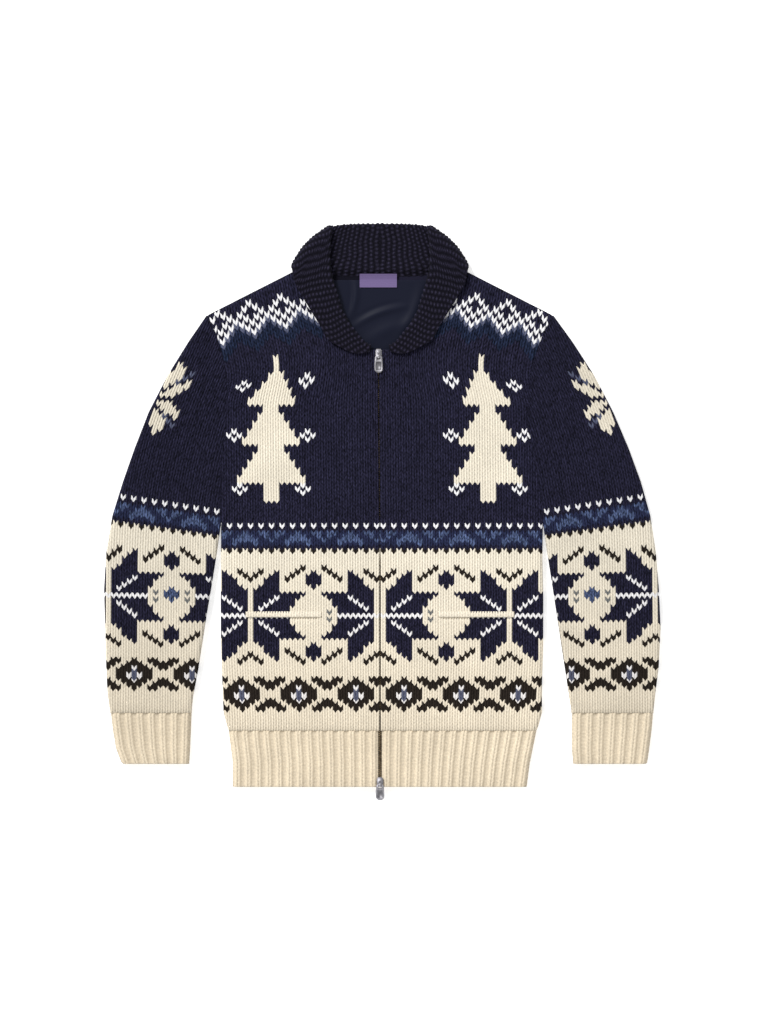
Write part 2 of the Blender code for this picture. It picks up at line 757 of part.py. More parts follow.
def build_lining(finish):
    """Smooth neck lining on the inside of the back."""
    x = np.linspace(-LINING_HALF_WIDTH, LINING_HALF_WIDTH, 7)[None, :]
    y = np.linspace(LINING_BOTTOM, LINING_TOP, 5)[:, None]
    x, y = np.broadcast_arrays(x, y)
    base = np.full(x.shape, KNIT + SEAM_GAP)
    add_slab("neck_lining", x, y, base + LINING_THICKNESS, base, finish)


def build_label(finish):
    """Blank woven label over the back neck seam."""
    x = LABEL_CENTRE_X + np.linspace(-0.5, 0.5, 5)[None, :] * LABEL_WIDTH
    y = np.linspace(LABEL_BOTTOM, LABEL_TOP, 6)[:, None]
    x, y = np.broadcast_arrays(x, y)
    climb = np.clip((y - LINING_TOP) / (LABEL_TOP - LINING_TOP), 0.0, 1.0)
    base = KNIT + LINING_THICKNESS + 2 * SEAM_GAP + 2.9 * climb ** 1.3
    add_slab("label", x, y, base + LABEL_THICKNESS, base, finish)


def prism(outline, low, high):
    """Points and faces of an upright prism over an outline that turns left."""
    count = len(outline)
    points = [(x, y, low) for x, y in outline] + [(x, y, high) for x, y in outline]
    faces = [tuple(range(count))[::-1], tuple(range(count, 2 * count))]
    faces += [(k, (k + 1) % count, count + (k + 1) % count, count + k) for k in range(count)]
    return points, faces


def box(centre, size):
    """Points and faces of a box."""
    half_x, half_y, half_z = (value / 2 for value in size)
    x, y, z = centre
    outline = [(x - half_x, y - half_y), (x + half_x, y - half_y),
               (x + half_x, y + half_y), (x - half_x, y + half_y)]
    return prism(outline, z - half_z, z + half_z)


def union(name, solids, finish):
    """Join overlapping solids, each given as points and faces, into one body."""
    base = None
    for index, (points, faces) in enumerate(solids):
        piece = add_mesh("%s.%d" % (name, index), points, faces, finish)
        if base is None:
            base = piece
            continue
        join = base.modifiers.new("join", "BOOLEAN")
        join.operation = "UNION"
        join.object = piece
        bpy.context.view_layer.update()
        joined = bpy.data.meshes.new_from_object(
            base.evaluated_get(bpy.context.evaluated_depsgraph_get()))
        base.modifiers.clear()
        base.data = joined
        bpy.data.objects.remove(piece)
    base.name = name
    return base


def slider_solids(y_axis, ahead):
    """Plate, waist, post and bridge of a slider; ahead is +1 where its pull points to -Y."""
    x = float(zip_line(y_axis))
    front = SLIDER_LENGTH * 0.2
    centre_y = y_axis + ahead * (SLIDER_LENGTH / 2 - front)
    half = SLIDER_WIDTH / 2
    shape = ((-0.72, -0.5), (0.72, -0.5), (1.0, -0.1), (1.0, 0.3), (0.6, 0.5), (-0.6, 0.5),
             (-1.0, 0.3), (-1.0, -0.1))
    outline = [(x + half * px, centre_y + ahead * SLIDER_LENGTH * py) for px, py in shape]
    if ahead < 0:
        outline = outline[::-1]
    plate = prism(outline, SLIDER_LEVEL, SLIDER_LEVEL + SLIDER_PLATE)
    waist_low = TAPE_LEVEL + TAPE_THICKNESS + SEAM_GAP
    waist = box((x, centre_y, (waist_low + SLIDER_LEVEL + 0.4) / 2),
                (1.5, SLIDER_LENGTH * 0.6, SLIDER_LEVEL + 0.4 - waist_low))
    bridge_top = BAR_HEIGHT + PULL_THICKNESS / 2 + 1.3
    bridge_low = BAR_HEIGHT + PULL_THICKNESS / 2 + 0.3
    post_low = SLIDER_LEVEL + SLIDER_PLATE - 0.4
    near = y_axis - ahead * 1.9
    far = y_axis + ahead * 5.6
    near_post = box((x, near, (post_low + bridge_top) / 2),
                    (BRIDGE_WIDTH, 1.3, bridge_top - post_low))
    far_post = box((x, far, (post_low + bridge_top) / 2),
                   (BRIDGE_WIDTH * 0.98, 1.3, bridge_top - post_low))
    bridge = box((x, (near + far) / 2, (bridge_low + bridge_top) / 2),
                 (BRIDGE_WIDTH * 0.96, abs(far - near) + 0.9, bridge_top - bridge_low - 0.04))
    return [plate, waist, near_post, far_post, bridge]


def pull_outline():
    """Outline of a pull tab that hangs towards -Y from its axis at the origin."""
    half, neck = PULL_WIDTH / 2, PULL_NECK / 2
    top = PULL_THICKNESS / 2
    points = [(neck * 0.8, top), (-neck * 0.8, top), (-neck, -1.2)]
    points += [(-half, -PULL_LENGTH + half * 1.1)]
    for step in range(7):
        angle = math.pi + math.pi * step / 6
        points.append((half * math.cos(angle), -PULL_LENGTH + half * (1 + math.sin(angle))))
    points += [(half, -PULL_LENGTH + half * 1.1), (neck, -1.2)]
    return points


def build_pull(name, y_axis, slope, finish):
    """A pull tab with the eye that its slider's bridge passes through."""
    plate = add_mesh(name, *prism(pull_outline(), -PULL_THICKNESS / 2, PULL_THICKNESS / 2),
                     finish)
    eye_centre = -PULL_THICKNESS / 2 - PULL_EYE_LENGTH / 2
    eye = add_mesh("eye", *box((0, eye_centre, 0), (PULL_EYE_WIDTH, PULL_EYE_LENGTH, 5)), finish)
    recess = add_mesh("recess", *box((0, -PULL_LENGTH * 0.58, PULL_THICKNESS / 2),
                                     (PULL_WIDTH * 0.6, PULL_LENGTH * 0.5, 0.6)), finish)
    for cutter in (eye, recess):
        cut = plate.modifiers.new("cut", "BOOLEAN")
        cut.operation = "DIFFERENCE"
        cut.object = cutter
        bpy.context.view_layer.update()
        carved = bpy.data.meshes.new_from_object(
            plate.evaluated_get(bpy.context.evaluated_depsgraph_get()))
        plate.modifiers.clear()
        plate.data = carved
        bpy.data.objects.remove(cutter)
    plate.location = (float(zip_line(y_axis)) * MM, y_axis * MM, BAR_HEIGHT * MM)
    plate.rotation_euler = (math.radians(slope), 0.0, 0.0)


def main():
    """Build the cardigan piece by piece."""
    for leftover in list(bpy.data.objects):
        bpy.data.objects.remove(leftover)
    cream = material("cream_wool", (0.80, 0.73, 0.60), 0.9)
    rib = material("rib_wool", (0.75, 0.66, 0.51), 0.9)
    navy = material("navy_wool", (0.017, 0.016, 0.03), 0.9)
    collar_wool = material("collar_wool", (0.011, 0.010, 0.02), 0.9)
    satin = material("lining_satin", (0.016, 0.017, 0.033), 0.45)
    woven = material("label_weave", (0.17, 0.12, 0.28), 0.6)
    tape = material("zip_tape", (0.02, 0.02, 0.03), 0.8)
    metal = material("antique_metal", (0.25, 0.24, 0.27), 0.35, 1.0)

    build_back(navy)
    build_hem_back(rib)
    for side in (-1, 1):
        build_front(side, cream)
        build_hem_front(side, rib)
        build_sleeve(side, navy)
        build_cuff(side, rib)
        build_tape(side, tape)
        build_welt(side, cream)
    build_collar(collar_wool)
    build_lining(satin)
    build_label(woven)
    union("slider_top", slider_solids(TOP_AXIS_Y, 1), metal)
    union("slider_bottom", slider_solids(BOTTOM_AXIS_Y, 1), metal)
    build_pull("pull_top", TOP_AXIS_Y, TOP_PULL_SLOPE, metal)
    build_pull("pull_bottom", BOTTOM_AXIS_Y, BOTTOM_PULL_SLOPE, metal)


main()
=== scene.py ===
"""Looks of a fair isle zip cardigan laid flat: knitted shells, collar, lining and zip.

Everything is worked out in millimetres in the frame's own axes: +X to the wearer's
left, +Y towards the collar, +Z up. A side of +1 is the wearer's left, and plans work
on |x|, so that one set of sizes serves both sides.
"""
from __future__ import annotations

import logging
import math
from dataclasses import dataclass, field
from enum import IntEnum
from typing import Callable

import bmesh
import bpy
import numpy as np
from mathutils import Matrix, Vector


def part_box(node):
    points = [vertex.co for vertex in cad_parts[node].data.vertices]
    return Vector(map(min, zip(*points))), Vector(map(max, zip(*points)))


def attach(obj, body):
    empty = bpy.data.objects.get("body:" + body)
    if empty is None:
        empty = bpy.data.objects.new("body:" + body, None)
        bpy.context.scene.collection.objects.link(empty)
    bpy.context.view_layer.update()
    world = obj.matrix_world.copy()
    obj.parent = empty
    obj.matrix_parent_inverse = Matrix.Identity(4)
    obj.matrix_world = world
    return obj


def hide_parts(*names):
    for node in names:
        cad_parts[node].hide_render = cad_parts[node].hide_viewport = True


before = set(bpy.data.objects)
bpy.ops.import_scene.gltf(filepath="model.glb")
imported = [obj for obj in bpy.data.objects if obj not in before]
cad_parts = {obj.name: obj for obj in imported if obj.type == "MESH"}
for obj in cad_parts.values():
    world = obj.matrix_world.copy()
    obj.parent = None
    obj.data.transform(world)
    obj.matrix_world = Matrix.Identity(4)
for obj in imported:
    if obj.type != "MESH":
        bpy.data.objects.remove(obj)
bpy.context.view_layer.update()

Array = np.ndarray
Pair = tuple[Array, Array]
Moved = tuple[Array, Array, Array]      # x, y and which points were inside already
Faces = list[list[int]]
Loops = list[tuple[list[int], list[int]]]

LOG = logging.getLogger("cardigan")
MM = 0.001
TOUCH = 1e-6               # lengths nearer than this are the same

# Knitting gauge
STITCH_WIDTH = 7.2
ROW_HEIGHT = 4.93

# Cloth and folds
KNIT = 4.5
BODY_HEIGHT = 12.0
FOLD_LEVEL = 6.0
FOLD_RADIUS = 6.5
FOLD_BLUNT = 0.35
INNER_LEVEL = 7.3          # underside of the upper walls
THINNEST = 0.2             # a wall keeps this much at its rounded edge

# Levels
HEM_END = -378.0
HEM_SEAM = -301.0
ARMPIT_Y = -20.0
SHOULDER = (237.0, 268.0)
NECK_POINT = (113.0, 331.0)
CUFF_SEAM = -277.0
CUFF_END = -346.5
ZIP_TOP = 221.0

# Seams
SEAM_CLOSE = 1.8           # how far the back reaches up to meet the collar
ARMHOLE_CLOSE = 1.1        # how far the sleeve reaches in to meet the body
SEAM_SLACK = 3.5           # edges are read this far inside a sloping seam
SEAM_REACH = 3.0           # how far from a seam the knit dips towards it

# Zip
ZIP_LEAN = 2.0
ZIP_GAP_BODY = 0.9
ZIP_GAP_HEM = 2.4
ZIP_SHUT_FROM = -75.0      # above this level the fronts draw together over the teeth
ZIP_SHUT_OVER = 40.0
ZIP_SHUT_SHARE = 0.85


def side_name(side: int) -> str:
    """Name of the wearer's side at +X (left) or -X (right)."""
    return "left" if side > 0 else "right"


def linear(hex_colour: str) -> tuple[float, float, float, float]:
    """Turn an sRGB hex colour into the linear RGBA that shaders use.

    Args:
        hex_colour: A hash sign and six hex digits.

    Returns:
        Linear red, green and blue, and an alpha of 1.
    """
    values = [int(hex_colour[i:i + 2], 16) / 255.0 for i in (1, 3, 5)]
    turned = [v / 12.92 if v <= 0.04045 else ((v + 0.055) / 1.055) ** 2.4 for v in values]
    return (turned[0], turned[1], turned[2], 1.0)


def ease(share: Array) -> Array:
    """Smooth step from 0 to 1: three squares less two cubes."""
    share = np.clip(share, 0.0, 1.0)
    return share * share * (3.0 - 2.0 * share)


def bell(value: Array, middle: float, reach: float) -> Array:
    """Bell curve of height 1 at the middle, down to 0.37 at the reach."""
    return np.exp(-((value - middle) / reach) ** 2)


def zip_line(y: Array) -> Array:
    """x of the zip's centre: it drifts to the wearer's right towards the top."""
    return -ZIP_LEAN * np.clip(y / ZIP_TOP, 0.0, 1.0)


def zip_shut(y: Array) -> Array:
    """How far the fronts have drawn together over the teeth, from 0 to 1."""
    return ease((y - ZIP_SHUT_FROM) / ZIP_SHUT_OVER)


def moved(x: Array, y: Array, new_x: Array, new_y: Array) -> Moved:
    """The clamped points, and which of them didn't have to move."""
    return new_x, new_y, (np.abs(new_x - x) < TOUCH) & (np.abs(new_y - y) < TOUCH)


def upper_inside(z: Array) -> Array:
    """Inside of an upper wall whose outside is at z."""
    return np.minimum(INNER_LEVEL, z - THINNEST)


def lower_inside(z: Array) -> Array:
    """Inside of a lower wall whose outside is at z."""
    return np.maximum(KNIT, z + THINNEST)


class Yarn(IntEnum):
    """The colours of wool on the garment."""

    CREAM = 0
    WHITE = 1
    NAVY = 2
    BLUE = 3
    GREY = 4
    DARK = 5
    RIB = 6
    DUSK = 7
    SLATE = 8
    COLLAR = 9
    INK = 10


@dataclass(frozen=True)
class YarnLook:
    """Colour of a yarn, how much it varies, and how strongly its painted shade and highlight
    show.
    """

    colour: str
    vary: float = 0.05
    hollow: float = 0.9


# The last number is the power on each point's painted shade and highlight: dark yarns show
# them most.
YARNS = {
    Yarn.CREAM: YarnLook("#F3EAD7", 0.04, 0.7),
    Yarn.WHITE: YarnLook("#F8F7F8", 0.03, 0.6),
    Yarn.NAVY: YarnLook("#252438", 0.42, 2.4),
    Yarn.BLUE: YarnLook("#4D5A7C", 0.5, 1.5),
    Yarn.GREY: YarnLook("#7A7C7C", 0.08, 1.2),
    Yarn.DARK: YarnLook("#2C2622", 0.15, 1.2),
    Yarn.RIB: YarnLook("#F1E5CE", 0.04, 0.7),
    Yarn.DUSK: YarnLook("#292E4A", 0.3, 1.6),
    Yarn.SLATE: YarnLook("#5C6179", 0.12, 1.2),
    Yarn.COLLAR: YarnLook("#1D1B28", 0.25, 2.4),
    Yarn.INK: YarnLook("#212940", 0.4, 2.2),
}


# --------------------------------------------------------------------------- charts


@dataclass(frozen=True)
class Chart:
    """The knitted pattern, worked out stitch by stitch from its motifs.

    Rows are counted from the middle of the stars, wales from the zip or from the
    middle of the sleeve. Each motif knits over what is there: yarn holds the Yarn of
    each stitch so far and is changed in place.
    """

    star_pitch: int = 24
    lozenge_pitch: int = 11
    lozenge_row: int = -22
    lozenge_start: int = 4
    wale_shift: int = 0
    on_sleeve: bool = False
    tree: tuple[int, int] = (20, 32)
    yoke_row: int = 75
    wave_start: int = 5
    small_star: tuple[int, int] = (-7, 50)

    def yarns(self, wale: Array, row: Array) -> Array:
        """Yarn of each stitch.

        Args:
            wale: Index of the stitch across the cloth.
            row: Index of the stitch up the cloth.

        Returns:
            The Yarn value of each stitch.
        """
        yarn = np.full(wale.shape, int(Yarn.CREAM))
        yarn[row >= 19] = Yarn.NAVY
        self._stars(yarn, wale + self.wale_shift, row)
        self._lozenges(yarn, wale, row)
        self._waves(yarn, wale, row)
        if self.on_sleeve:
            self._small_star(yarn, wale, row)
        else:
            self._tree(yarn, wale, row)
            self._yoke(yarn, wale, row)
        return yarn

    def _stars(self, yarn: Array, wale: Array, row: Array) -> None:
        """Eight-point stars: two petals in each quarter, parted by a dotted diagonal.

        Args:
            yarn: Yarn of each stitch, changed in place.
            wale: Wale of each stitch, 0 at the middle of a star.
            row: Row of each stitch.
        """
        half = self.star_pitch // 2
        across = np.abs((wale + half) % self.star_pitch - half)
        rise = np.abs(row)
        between = half - across
        upper = (across >= 1) & (across <= 5) & (rise > across)
        upper &= rise <= np.round(7 + 1.25 * (across - 1))
        flank = (rise >= 1) & (rise <= 6) & (rise <= across)
        flank &= across <= np.floor(7 + 0.65 * (rise - 1))
        yarn[upper | flank] = Yarn.NAVY
        yarn[(across == rise) & (across >= 2) & (across <= 5)] = Yarn.WHITE
        yarn[(row == 0) & (across <= 7)] = Yarn.WHITE
        diamond = (between <= 1) & (np.abs(rise - 10) <= 1)
        diamond |= (between == 0) & (np.abs(rise - 10) == 2)
        yarn[diamond] = Yarn.NAVY
        yarn[(rise == 15 - between) & (between >= 2) & (between <= 5)] = Yarn.DARK
        notch = np.where(row > 0, 10, 11) + across
        yarn[(rise == notch) & (across <= 2)] = Yarn.DARK
        eyes = (between == 3) & (rise == 1)
        if self.on_sleeve:
            middle = (between == 0) & (row >= -1) & (row <= 2)
            middle |= (between == 1) & (row >= 0) & (row <= 1)
            yarn[middle] = Yarn.BLUE
            yarn[eyes] = Yarn.GREY
        else:
            yarn[eyes & (wale < half)] = Yarn.GREY

    def _lozenges(self, yarn: Array, wale: Array, row: Array) -> None:
        """A border of lozenges with a small cross inside, hooked figures between.

        Args:
            yarn: Yarn of each stitch, changed in place.
            wale: Wale of each stitch.
            row: Row of each stitch.
        """
        half = self.lozenge_pitch // 2
        across = np.abs((wale - self.lozenge_start + half) % self.lozenge_pitch - half)
        rise = row - self.lozenge_row
        reach = np.abs(rise)
        yarn[(reach <= 4) & (across <= np.minimum(3, 4 - reach))] = Yarn.DARK
        yarn[(across == 0) & (reach == 2)] = Yarn.WHITE
        yarn[(across == 1) & ((rise == 0) | (rise == -1))] = Yarn.WHITE
        yarn[(across == 0) & (reach <= 1)] = Yarn.SLATE
        hooks = (reach == 4) & (across >= 3) & (across <= 4)
        hooks |= (reach == 3) & (across >= 4)
        hooks |= (reach == 2) & (across == 5)
        yarn[hooks] = Yarn.DARK

    def _waves(self, yarn: Array, wale: Array, row: Array) -> None:
        """A heather wave on dusky navy, white dots over it and teeth under it.

        Args:
            yarn: Yarn of each stitch, changed in place.
            wale: Wale of each stitch.
            row: Row of each stitch.
        """
        yarn[(row >= 20) & (row <= 23)] = Yarn.DUSK
        yarn[(row == 18) & (wale % 2 == 0)] = Yarn.DARK
        phase = np.abs((wale - self.wave_start + 5) % 10 - 5)
        wave = (row == 23) & ((phase == 0) | (phase == 3) | (phase == 4))
        wave |= (row == 22) & ((phase <= 1) | (phase == 4))
        wave |= (row == 21) & ((phase <= 2) | (phase == 5))
        wave |= (row == 20) & (phase == 2)
        yarn[wave] = Yarn.BLUE
        yarn[(row == 25) & (wale % 2 == 0)] = Yarn.WHITE

    def _tree(self, yarn: Array, wale: Array, row: Array) -> None:
        """A plain fir tree on the chest with a few snow crosses round it.

        Args:
            yarn: Yarn of each stitch, changed in place.
            wale: Wale of each stitch.
            row: Row of each stitch.
        """
        middle, foot = self.tree
        across, rise = np.abs(wale - middle), row - foot
        yarn[(rise >= 0) & (rise <= 4) & (across <= 1)] = Yarn.CREAM
        for base, width in ((5, 6), (15, 5), (25, 4)):
            step = rise - base
            reach = np.maximum(width - step // 2, 0)
            yarn[(step >= 0) & (step <= 11) & (across <= reach)] = Yarn.CREAM
        for wale_at, rise_at in ((-6, 30), (6, 30), (-7, 17), (7, 17), (-6, 3), (6, 3)):
            cross = np.abs(wale - middle - wale_at) + np.abs(rise - rise_at)
            yarn[cross == 1] = Yarn.WHITE

    def _yoke(self, yarn: Array, wale: Array, row: Array) -> None:
        """A row of white diamonds, three dots in each, fading into ink blue below.

        Args:
            yarn: Yarn of each stitch, changed in place.
            wale: Wale of each stitch.
            row: Row of each stitch.
        """
        slope = np.abs((wale + 4) % 6 - 3)
        rise = row - self.yoke_row
        yarn[(rise >= slope - 4) & (rise <= slope - 2)] = Yarn.INK
        yarn[rise == slope - 1] = Yarn.SLATE
        white = (rise == slope) | ((rise == 6 - slope) & (slope <= 2))
        white |= ((slope == 0) & (rise == 2)) | ((slope == 1) & (rise == 3))
        yarn[white] = Yarn.WHITE

    def _small_star(self, yarn: Array, wale: Array, row: Array) -> None:
        """A small cream star on the upper arm with blue dots along its diagonals.

        Args:
            yarn: Yarn of each stitch, changed in place.
            wale: Wale of each stitch.
            row: Row of each stitch.
        """
        across = np.abs(wale - self.small_star[0])
        rise = np.abs(row - self.small_star[1])
        petals = (across == 1) & (rise >= 3) & (rise <= 6)
        petals |= (across == 2) & (rise >= 4) & (rise <= 8)
        petals |= (across == 3) & (rise >= 5) & (rise <= 7)
        petals |= (rise == 1) & (across >= 1) & (across <= 3)
        petals |= (rise == 2) & (across >= 2) & (across <= 4)
        petals |= (rise == 3) & (across >= 3) & (across <= 5)
        petals |= (rise == 4) & (across == 5)
        yarn[petals] = Yarn.CREAM
        yarn[(rise == across + 1) & (across >= 3) & (across <= 5)] = Yarn.SLATE


# ---------------------------------------------------------------- stitches and shells


@dataclass(frozen=True)
class StitchProfile:
    """Cross-section of one wale: where its points lie and how they stand out.

    share is the place across the wale, base the depth of a rib's trough, plump how far
    the strand bulges, lift how far the point climbs with the V, purl a bump for the
    rows between ribs, shade the painted shade and highlight there, darker in the dips
    and lighter on the crests, and pit how much more painted shade falls where two
    rows meet. Heights are in millimetres.
    """

    share: tuple[float, ...]
    base: tuple[float, ...]
    plump: tuple[float, ...]
    lift: tuple[float, ...]
    purl: tuple[float, ...]
    shade: tuple[float, ...]
    pit: tuple[float, ...]


STOCKING = StitchProfile(
    share=(0.0, 0.125, 0.25, 0.375, 0.5, 0.625, 0.75, 0.875),
    base=(-0.6, -0.15, 0.0, -0.05, -0.5, -0.05, 0.0, -0.15),
    plump=(0.0, 0.75, 1.0, 0.8, 0.1, 0.8, 1.0, 0.75),
    lift=(1.0, 0.93, 0.68, 0.3, 0.06, 0.3, 0.68, 0.93),
    purl=(0.0,) * 8,
    shade=(0.8, 0.97, 1.07, 1.04, 0.86, 1.04, 1.07, 0.97),
    pit=(0.16, 0.14, 0.14, 0.2, 0.5, 0.2, 0.14, 0.14),
)
PLAIN = StitchProfile(
    share=(0.0, 0.5),
    base=(0.0, 0.0),
    plump=(0.0, 0.0),
    lift=(1.0, 0.0),
    purl=(0.0, 0.0),
    shade=(0.95, 1.0),
    pit=(0.1, 0.1),
)
RIB = StitchProfile(
    share=(0.0, 0.09, 0.18, 0.25, 0.34, 0.43, 0.5, 0.57, 0.66, 0.75, 0.82, 0.91),
    base=(-1.9, -1.8, -1.3, -0.3, 0.1, 0.0, -0.45, 0.0, 0.1, -0.3, -1.3, -1.8),
    plump=(0.0, 0.0, 0.1, 0.5, 0.9, 0.8, 0.1, 0.8, 0.9, 0.5, 0.1, 0.0),
    lift=(1.0, 1.0, 1.0, 0.85, 0.6, 0.25, 0.05, 0.25, 0.6, 0.85, 1.0, 1.0),
    purl=(0.8, 0.6, 0.1, 0.0, 0.0, 0.0, 0.0, 0.0, 0.0, 0.0, 0.1, 0.6),
    shade=(0.86, 0.86, 0.9, 0.98, 1.05, 1.02, 0.86, 1.02, 1.05, 0.98, 0.9, 0.86),
    pit=(0.16, 0.14, 0.1, 0.08, 0.08, 0.14, 0.4, 0.14, 0.08, 0.08, 0.1, 0.14),
)


@dataclass(frozen=True)
class Crease:
    """A soft fold laid from one place to another.

    A negative depth is a trough, a positive one a ridge; it fades at both ends.
    """

    x0: float
    y0: float
    x1: float
    y1: float
    width: float
    depth: float

    def height(self, x: Array, y: Array) -> Array:
        """Height that the crease adds: a bell across it, fading along it.

        Args:
            x: |x| of each point.
            y: y of each point.

        Returns:
            Height added at each point.
        """
        run = np.array([self.x1 - self.x0, self.y1 - self.y0])
        length = float(np.hypot(*run))
        run /= length
        along = ((x - self.x0) * run[0] + (y - self.y0) * run[1]) / length
        bow = 0.06 * length * np.sin(np.pi * np.clip(along, 0.0, 1.0))
        across = (x - self.x0) * -run[1] + (y - self.y0) * run[0] - bow
        inside = np.clip(along, 0.0, 1.0)
        fade = np.exp(-((along - inside) * length / self.width) ** 2)
        swell = 0.35 + 0.65 * np.sin(np.pi * inside)
        return self.depth * swell * fade * np.exp(-(across / self.width) ** 2)


def creased(full: Array, creases: tuple[Crease, ...], x: Array, y: Array) -> Array:
    """Add every crease to a height.

    Args:
        full: Height of the smooth cloth.
        creases: The folds laid in it.
        x: |x| of each point.
        y: y of each point.

    Returns:
        Height of the creased cloth.
    """
    for crease in creases:
        full = full + crease.height(x, y)
    return full


def read_mesh(items: bpy.types.bpy_prop_collection, name: str, width: int = 1,
              kind: type = float) -> Array:
    """Read one property of all vertices, edges, corners or faces of a mesh.

    Args:
        items: The mesh's collection.
        name: Name of the property.
        width: How many numbers each item has.
        kind: Type of the numbers.

    Returns:
        One value or one row for each item.
    """
    values = np.zeros(len(items) * width, dtype=kind)
    items.foreach_get(name, values)
    return values.reshape(-1, width) if width > 1 else values


def paint_corners(mesh: bpy.types.Mesh, name: str, colours: Array) -> None:
    """Write a colour for each face corner into an attribute that a material reads.

    Args:
        mesh: The mesh to paint.
        name: Name of the attribute.
        colours: Linear red, green and blue of each corner.
    """
    rgba = np.column_stack([colours, np.ones(len(colours))]).astype(np.float32)
    layer = mesh.color_attributes.new(name, "FLOAT_COLOR", "CORNER")
    layer.data.foreach_set("color", rgba.reshape(-1))


@dataclass
class Outline:
    """Edges of a CAD node in plan, read from its mesh in the frame.

    low and high are the least and greatest |x| at each level y; tops is the greatest y
    at each |x|. Edges of the mesh are cut by level lines to find them.
    """

    node: str
    levels: Array = field(init=False)
    low: Array = field(init=False)
    high: Array = field(init=False)
    stations: Array = field(init=False)
    tops: Array = field(init=False)

    def __post_init__(self) -> None:
        """Cut the node's mesh along both axes."""
        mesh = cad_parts[self.node].data
        points = read_mesh(mesh.vertices, "co", 3) / MM
        points[:, 0] = np.abs(points[:, 0])
        ends = points[read_mesh(mesh.edges, "vertices", 2, int)]
        self.levels = np.linspace(points[:, 1].min() + 0.01, points[:, 1].max() - 0.01, 420)
        self.low, self.high = self._cut(ends, 1, 0, self.levels)
        self.stations = np.linspace(points[:, 0].min() + 0.01, points[:, 0].max() - 0.01, 200)
        self.tops = self._cut(ends, 0, 1, self.stations)[1]

    @staticmethod
    def _cut(ends: Array, axis: int, other: int, levels: Array) -> Pair:
        """Cut the edges by level lines.

        Args:
            ends: Both end points of each edge.
            axis: Axis along which the levels are measured.
            other: Axis along which the crossings are measured.
            levels: The level lines.

        Returns:
            The least and the greatest crossing at each level.
        """
        start, stop = ends[:, 0, axis], ends[:, 1, axis]
        low, high = np.zeros(len(levels)), np.zeros(len(levels))
        for index, level in enumerate(levels):
            hit = (start - level) * (stop - level) <= 0
            hit &= np.abs(stop - start) > TOUCH
            share = (level - start[hit]) / (stop[hit] - start[hit])
            found = ends[hit, 0, other] + share * (ends[hit, 1, other] - ends[hit, 0, other])
            low[index], high[index] = found.min(), found.max()
        return low, high

    def inner(self, y: Array) -> Array:
        """Least |x| at y."""
        return np.interp(y, self.levels, self.low)

    def outer(self, y: Array) -> Array:
        """Greatest |x| at y."""
        return np.interp(y, self.levels, self.high)

    def top(self, x: Array) -> Array:
        """Greatest y at |x|."""
        return np.interp(x, self.stations, self.tops)


def path_distance(path: Array, x: Array, y: Array) -> Array:
    """Shortest distance from each point to a path of straight stretches.

    Args:
        path: Corners of the path, a row each.
        x: |x| of each point.
        y: y of each point.

    Returns:
        The distance of each point.
    """
    best = np.full(x.shape, np.inf)
    for start, end in zip(path[:-1], path[1:]):
        run = end - start
        share = ((x - start[0]) * run[0] + (y - start[1]) * run[1]) / (run @ run)
        share = np.clip(share, 0.0, 1.0)
        gap = np.hypot(x - start[0] - share * run[0], y - start[1] - share * run[1])
        best = np.minimum(best, gap)
    return best


def fold_rise(distance: Array) -> Array:
    """Share of the half height reached at a distance from a fold: a quarter circle."""
    share = np.clip((distance + FOLD_BLUNT) / FOLD_RADIUS, 0.0, 1.0)
    return np.sqrt(1.0 - (1.0 - share) ** 2)


def grid_quads(rows: int, columns: int) -> Array:
    """Join the points of a grid, numbered row by row, into quads that face up.

    Args:
        rows: Points up the grid.
        columns: Points across the grid.

    Returns:
        Point indices of each quad.
    """
    index = np.arange(rows * columns).reshape(rows, columns)
    return np.stack([index[:-1, :-1], index[:-1, 1:], index[1:, 1:], index[1:, :-1]],
                    axis=-1).reshape(-1, 4)


def plan_area(points: Array, quads: Array) -> float:
    """Area of quads seen from above, by the shoelace rule.

    Args:
        points: Points in space.
        quads: Point indices of each quad.

    Returns:
        The area in square millimetres.
    """
    corners = points[quads][:, :, :2]
    shift = np.roll(corners, -1, axis=1)
    cross = corners[:, :, 0] * shift[:, :, 1] - corners[:, :, 1] * shift[:, :, 0]
    return 0.5 * np.abs(cross.sum(axis=1)).sum()


def open_edges(faces: Array) -> dict[int, list[tuple[int, int]]]:
    """Find the edges that only one quad uses.

    Args:
        faces: Point indices of the quads.

    Returns:
        For each point, the points that an open edge leads to, each with its quad.
    """
    starts = faces.reshape(-1)
    stops = np.roll(faces, -1, axis=1).reshape(-1)
    size = int(faces.max()) + 1
    lone = ~np.isin(starts * size + stops, stops * size + starts)
    follow: dict[int, list[tuple[int, int]]] = {}
    quads = np.repeat(np.arange(len(faces)), 4)
    for a, b, quad in zip(starts[lone].tolist(), stops[lone].tolist(), quads[lone].tolist()):
        follow.setdefault(a, []).append((b, quad))
    return follow


def boundary_loops(faces: Array) -> Loops:
    """Follow the open edges of a quad mesh round into closed loops.

    Args:
        faces: Point indices of the quads.

    Returns:
        For each loop its point indices, in the faces' own direction, and the quad
        beside the edge that leaves each point.
    """
    follow = open_edges(faces)
    loops = []
    while follow:
        at = next(iter(follow))
        loop, beside = [], []
        while at in follow:
            following, quad = follow[at].pop()
            if not follow[at]:
                del follow[at]
            loop.append(at)
            beside.append(quad)
            at = following
        loops.append((loop, beside))
    return loops


def add_object(name: str, mesh: bpy.types.Mesh,
               finish: bpy.types.Material) -> bpy.types.Object:
    """Put a mesh into the scene at the origin.

    Args:
        name: Name of the object.
        mesh: Its mesh, in metres.
        finish: Its material.

    Returns:
        The object.
    """
    mesh.materials.append(finish)
    piece = bpy.data.objects.new(name, mesh)
    bpy.context.scene.collection.objects.link(piece)
    return piece


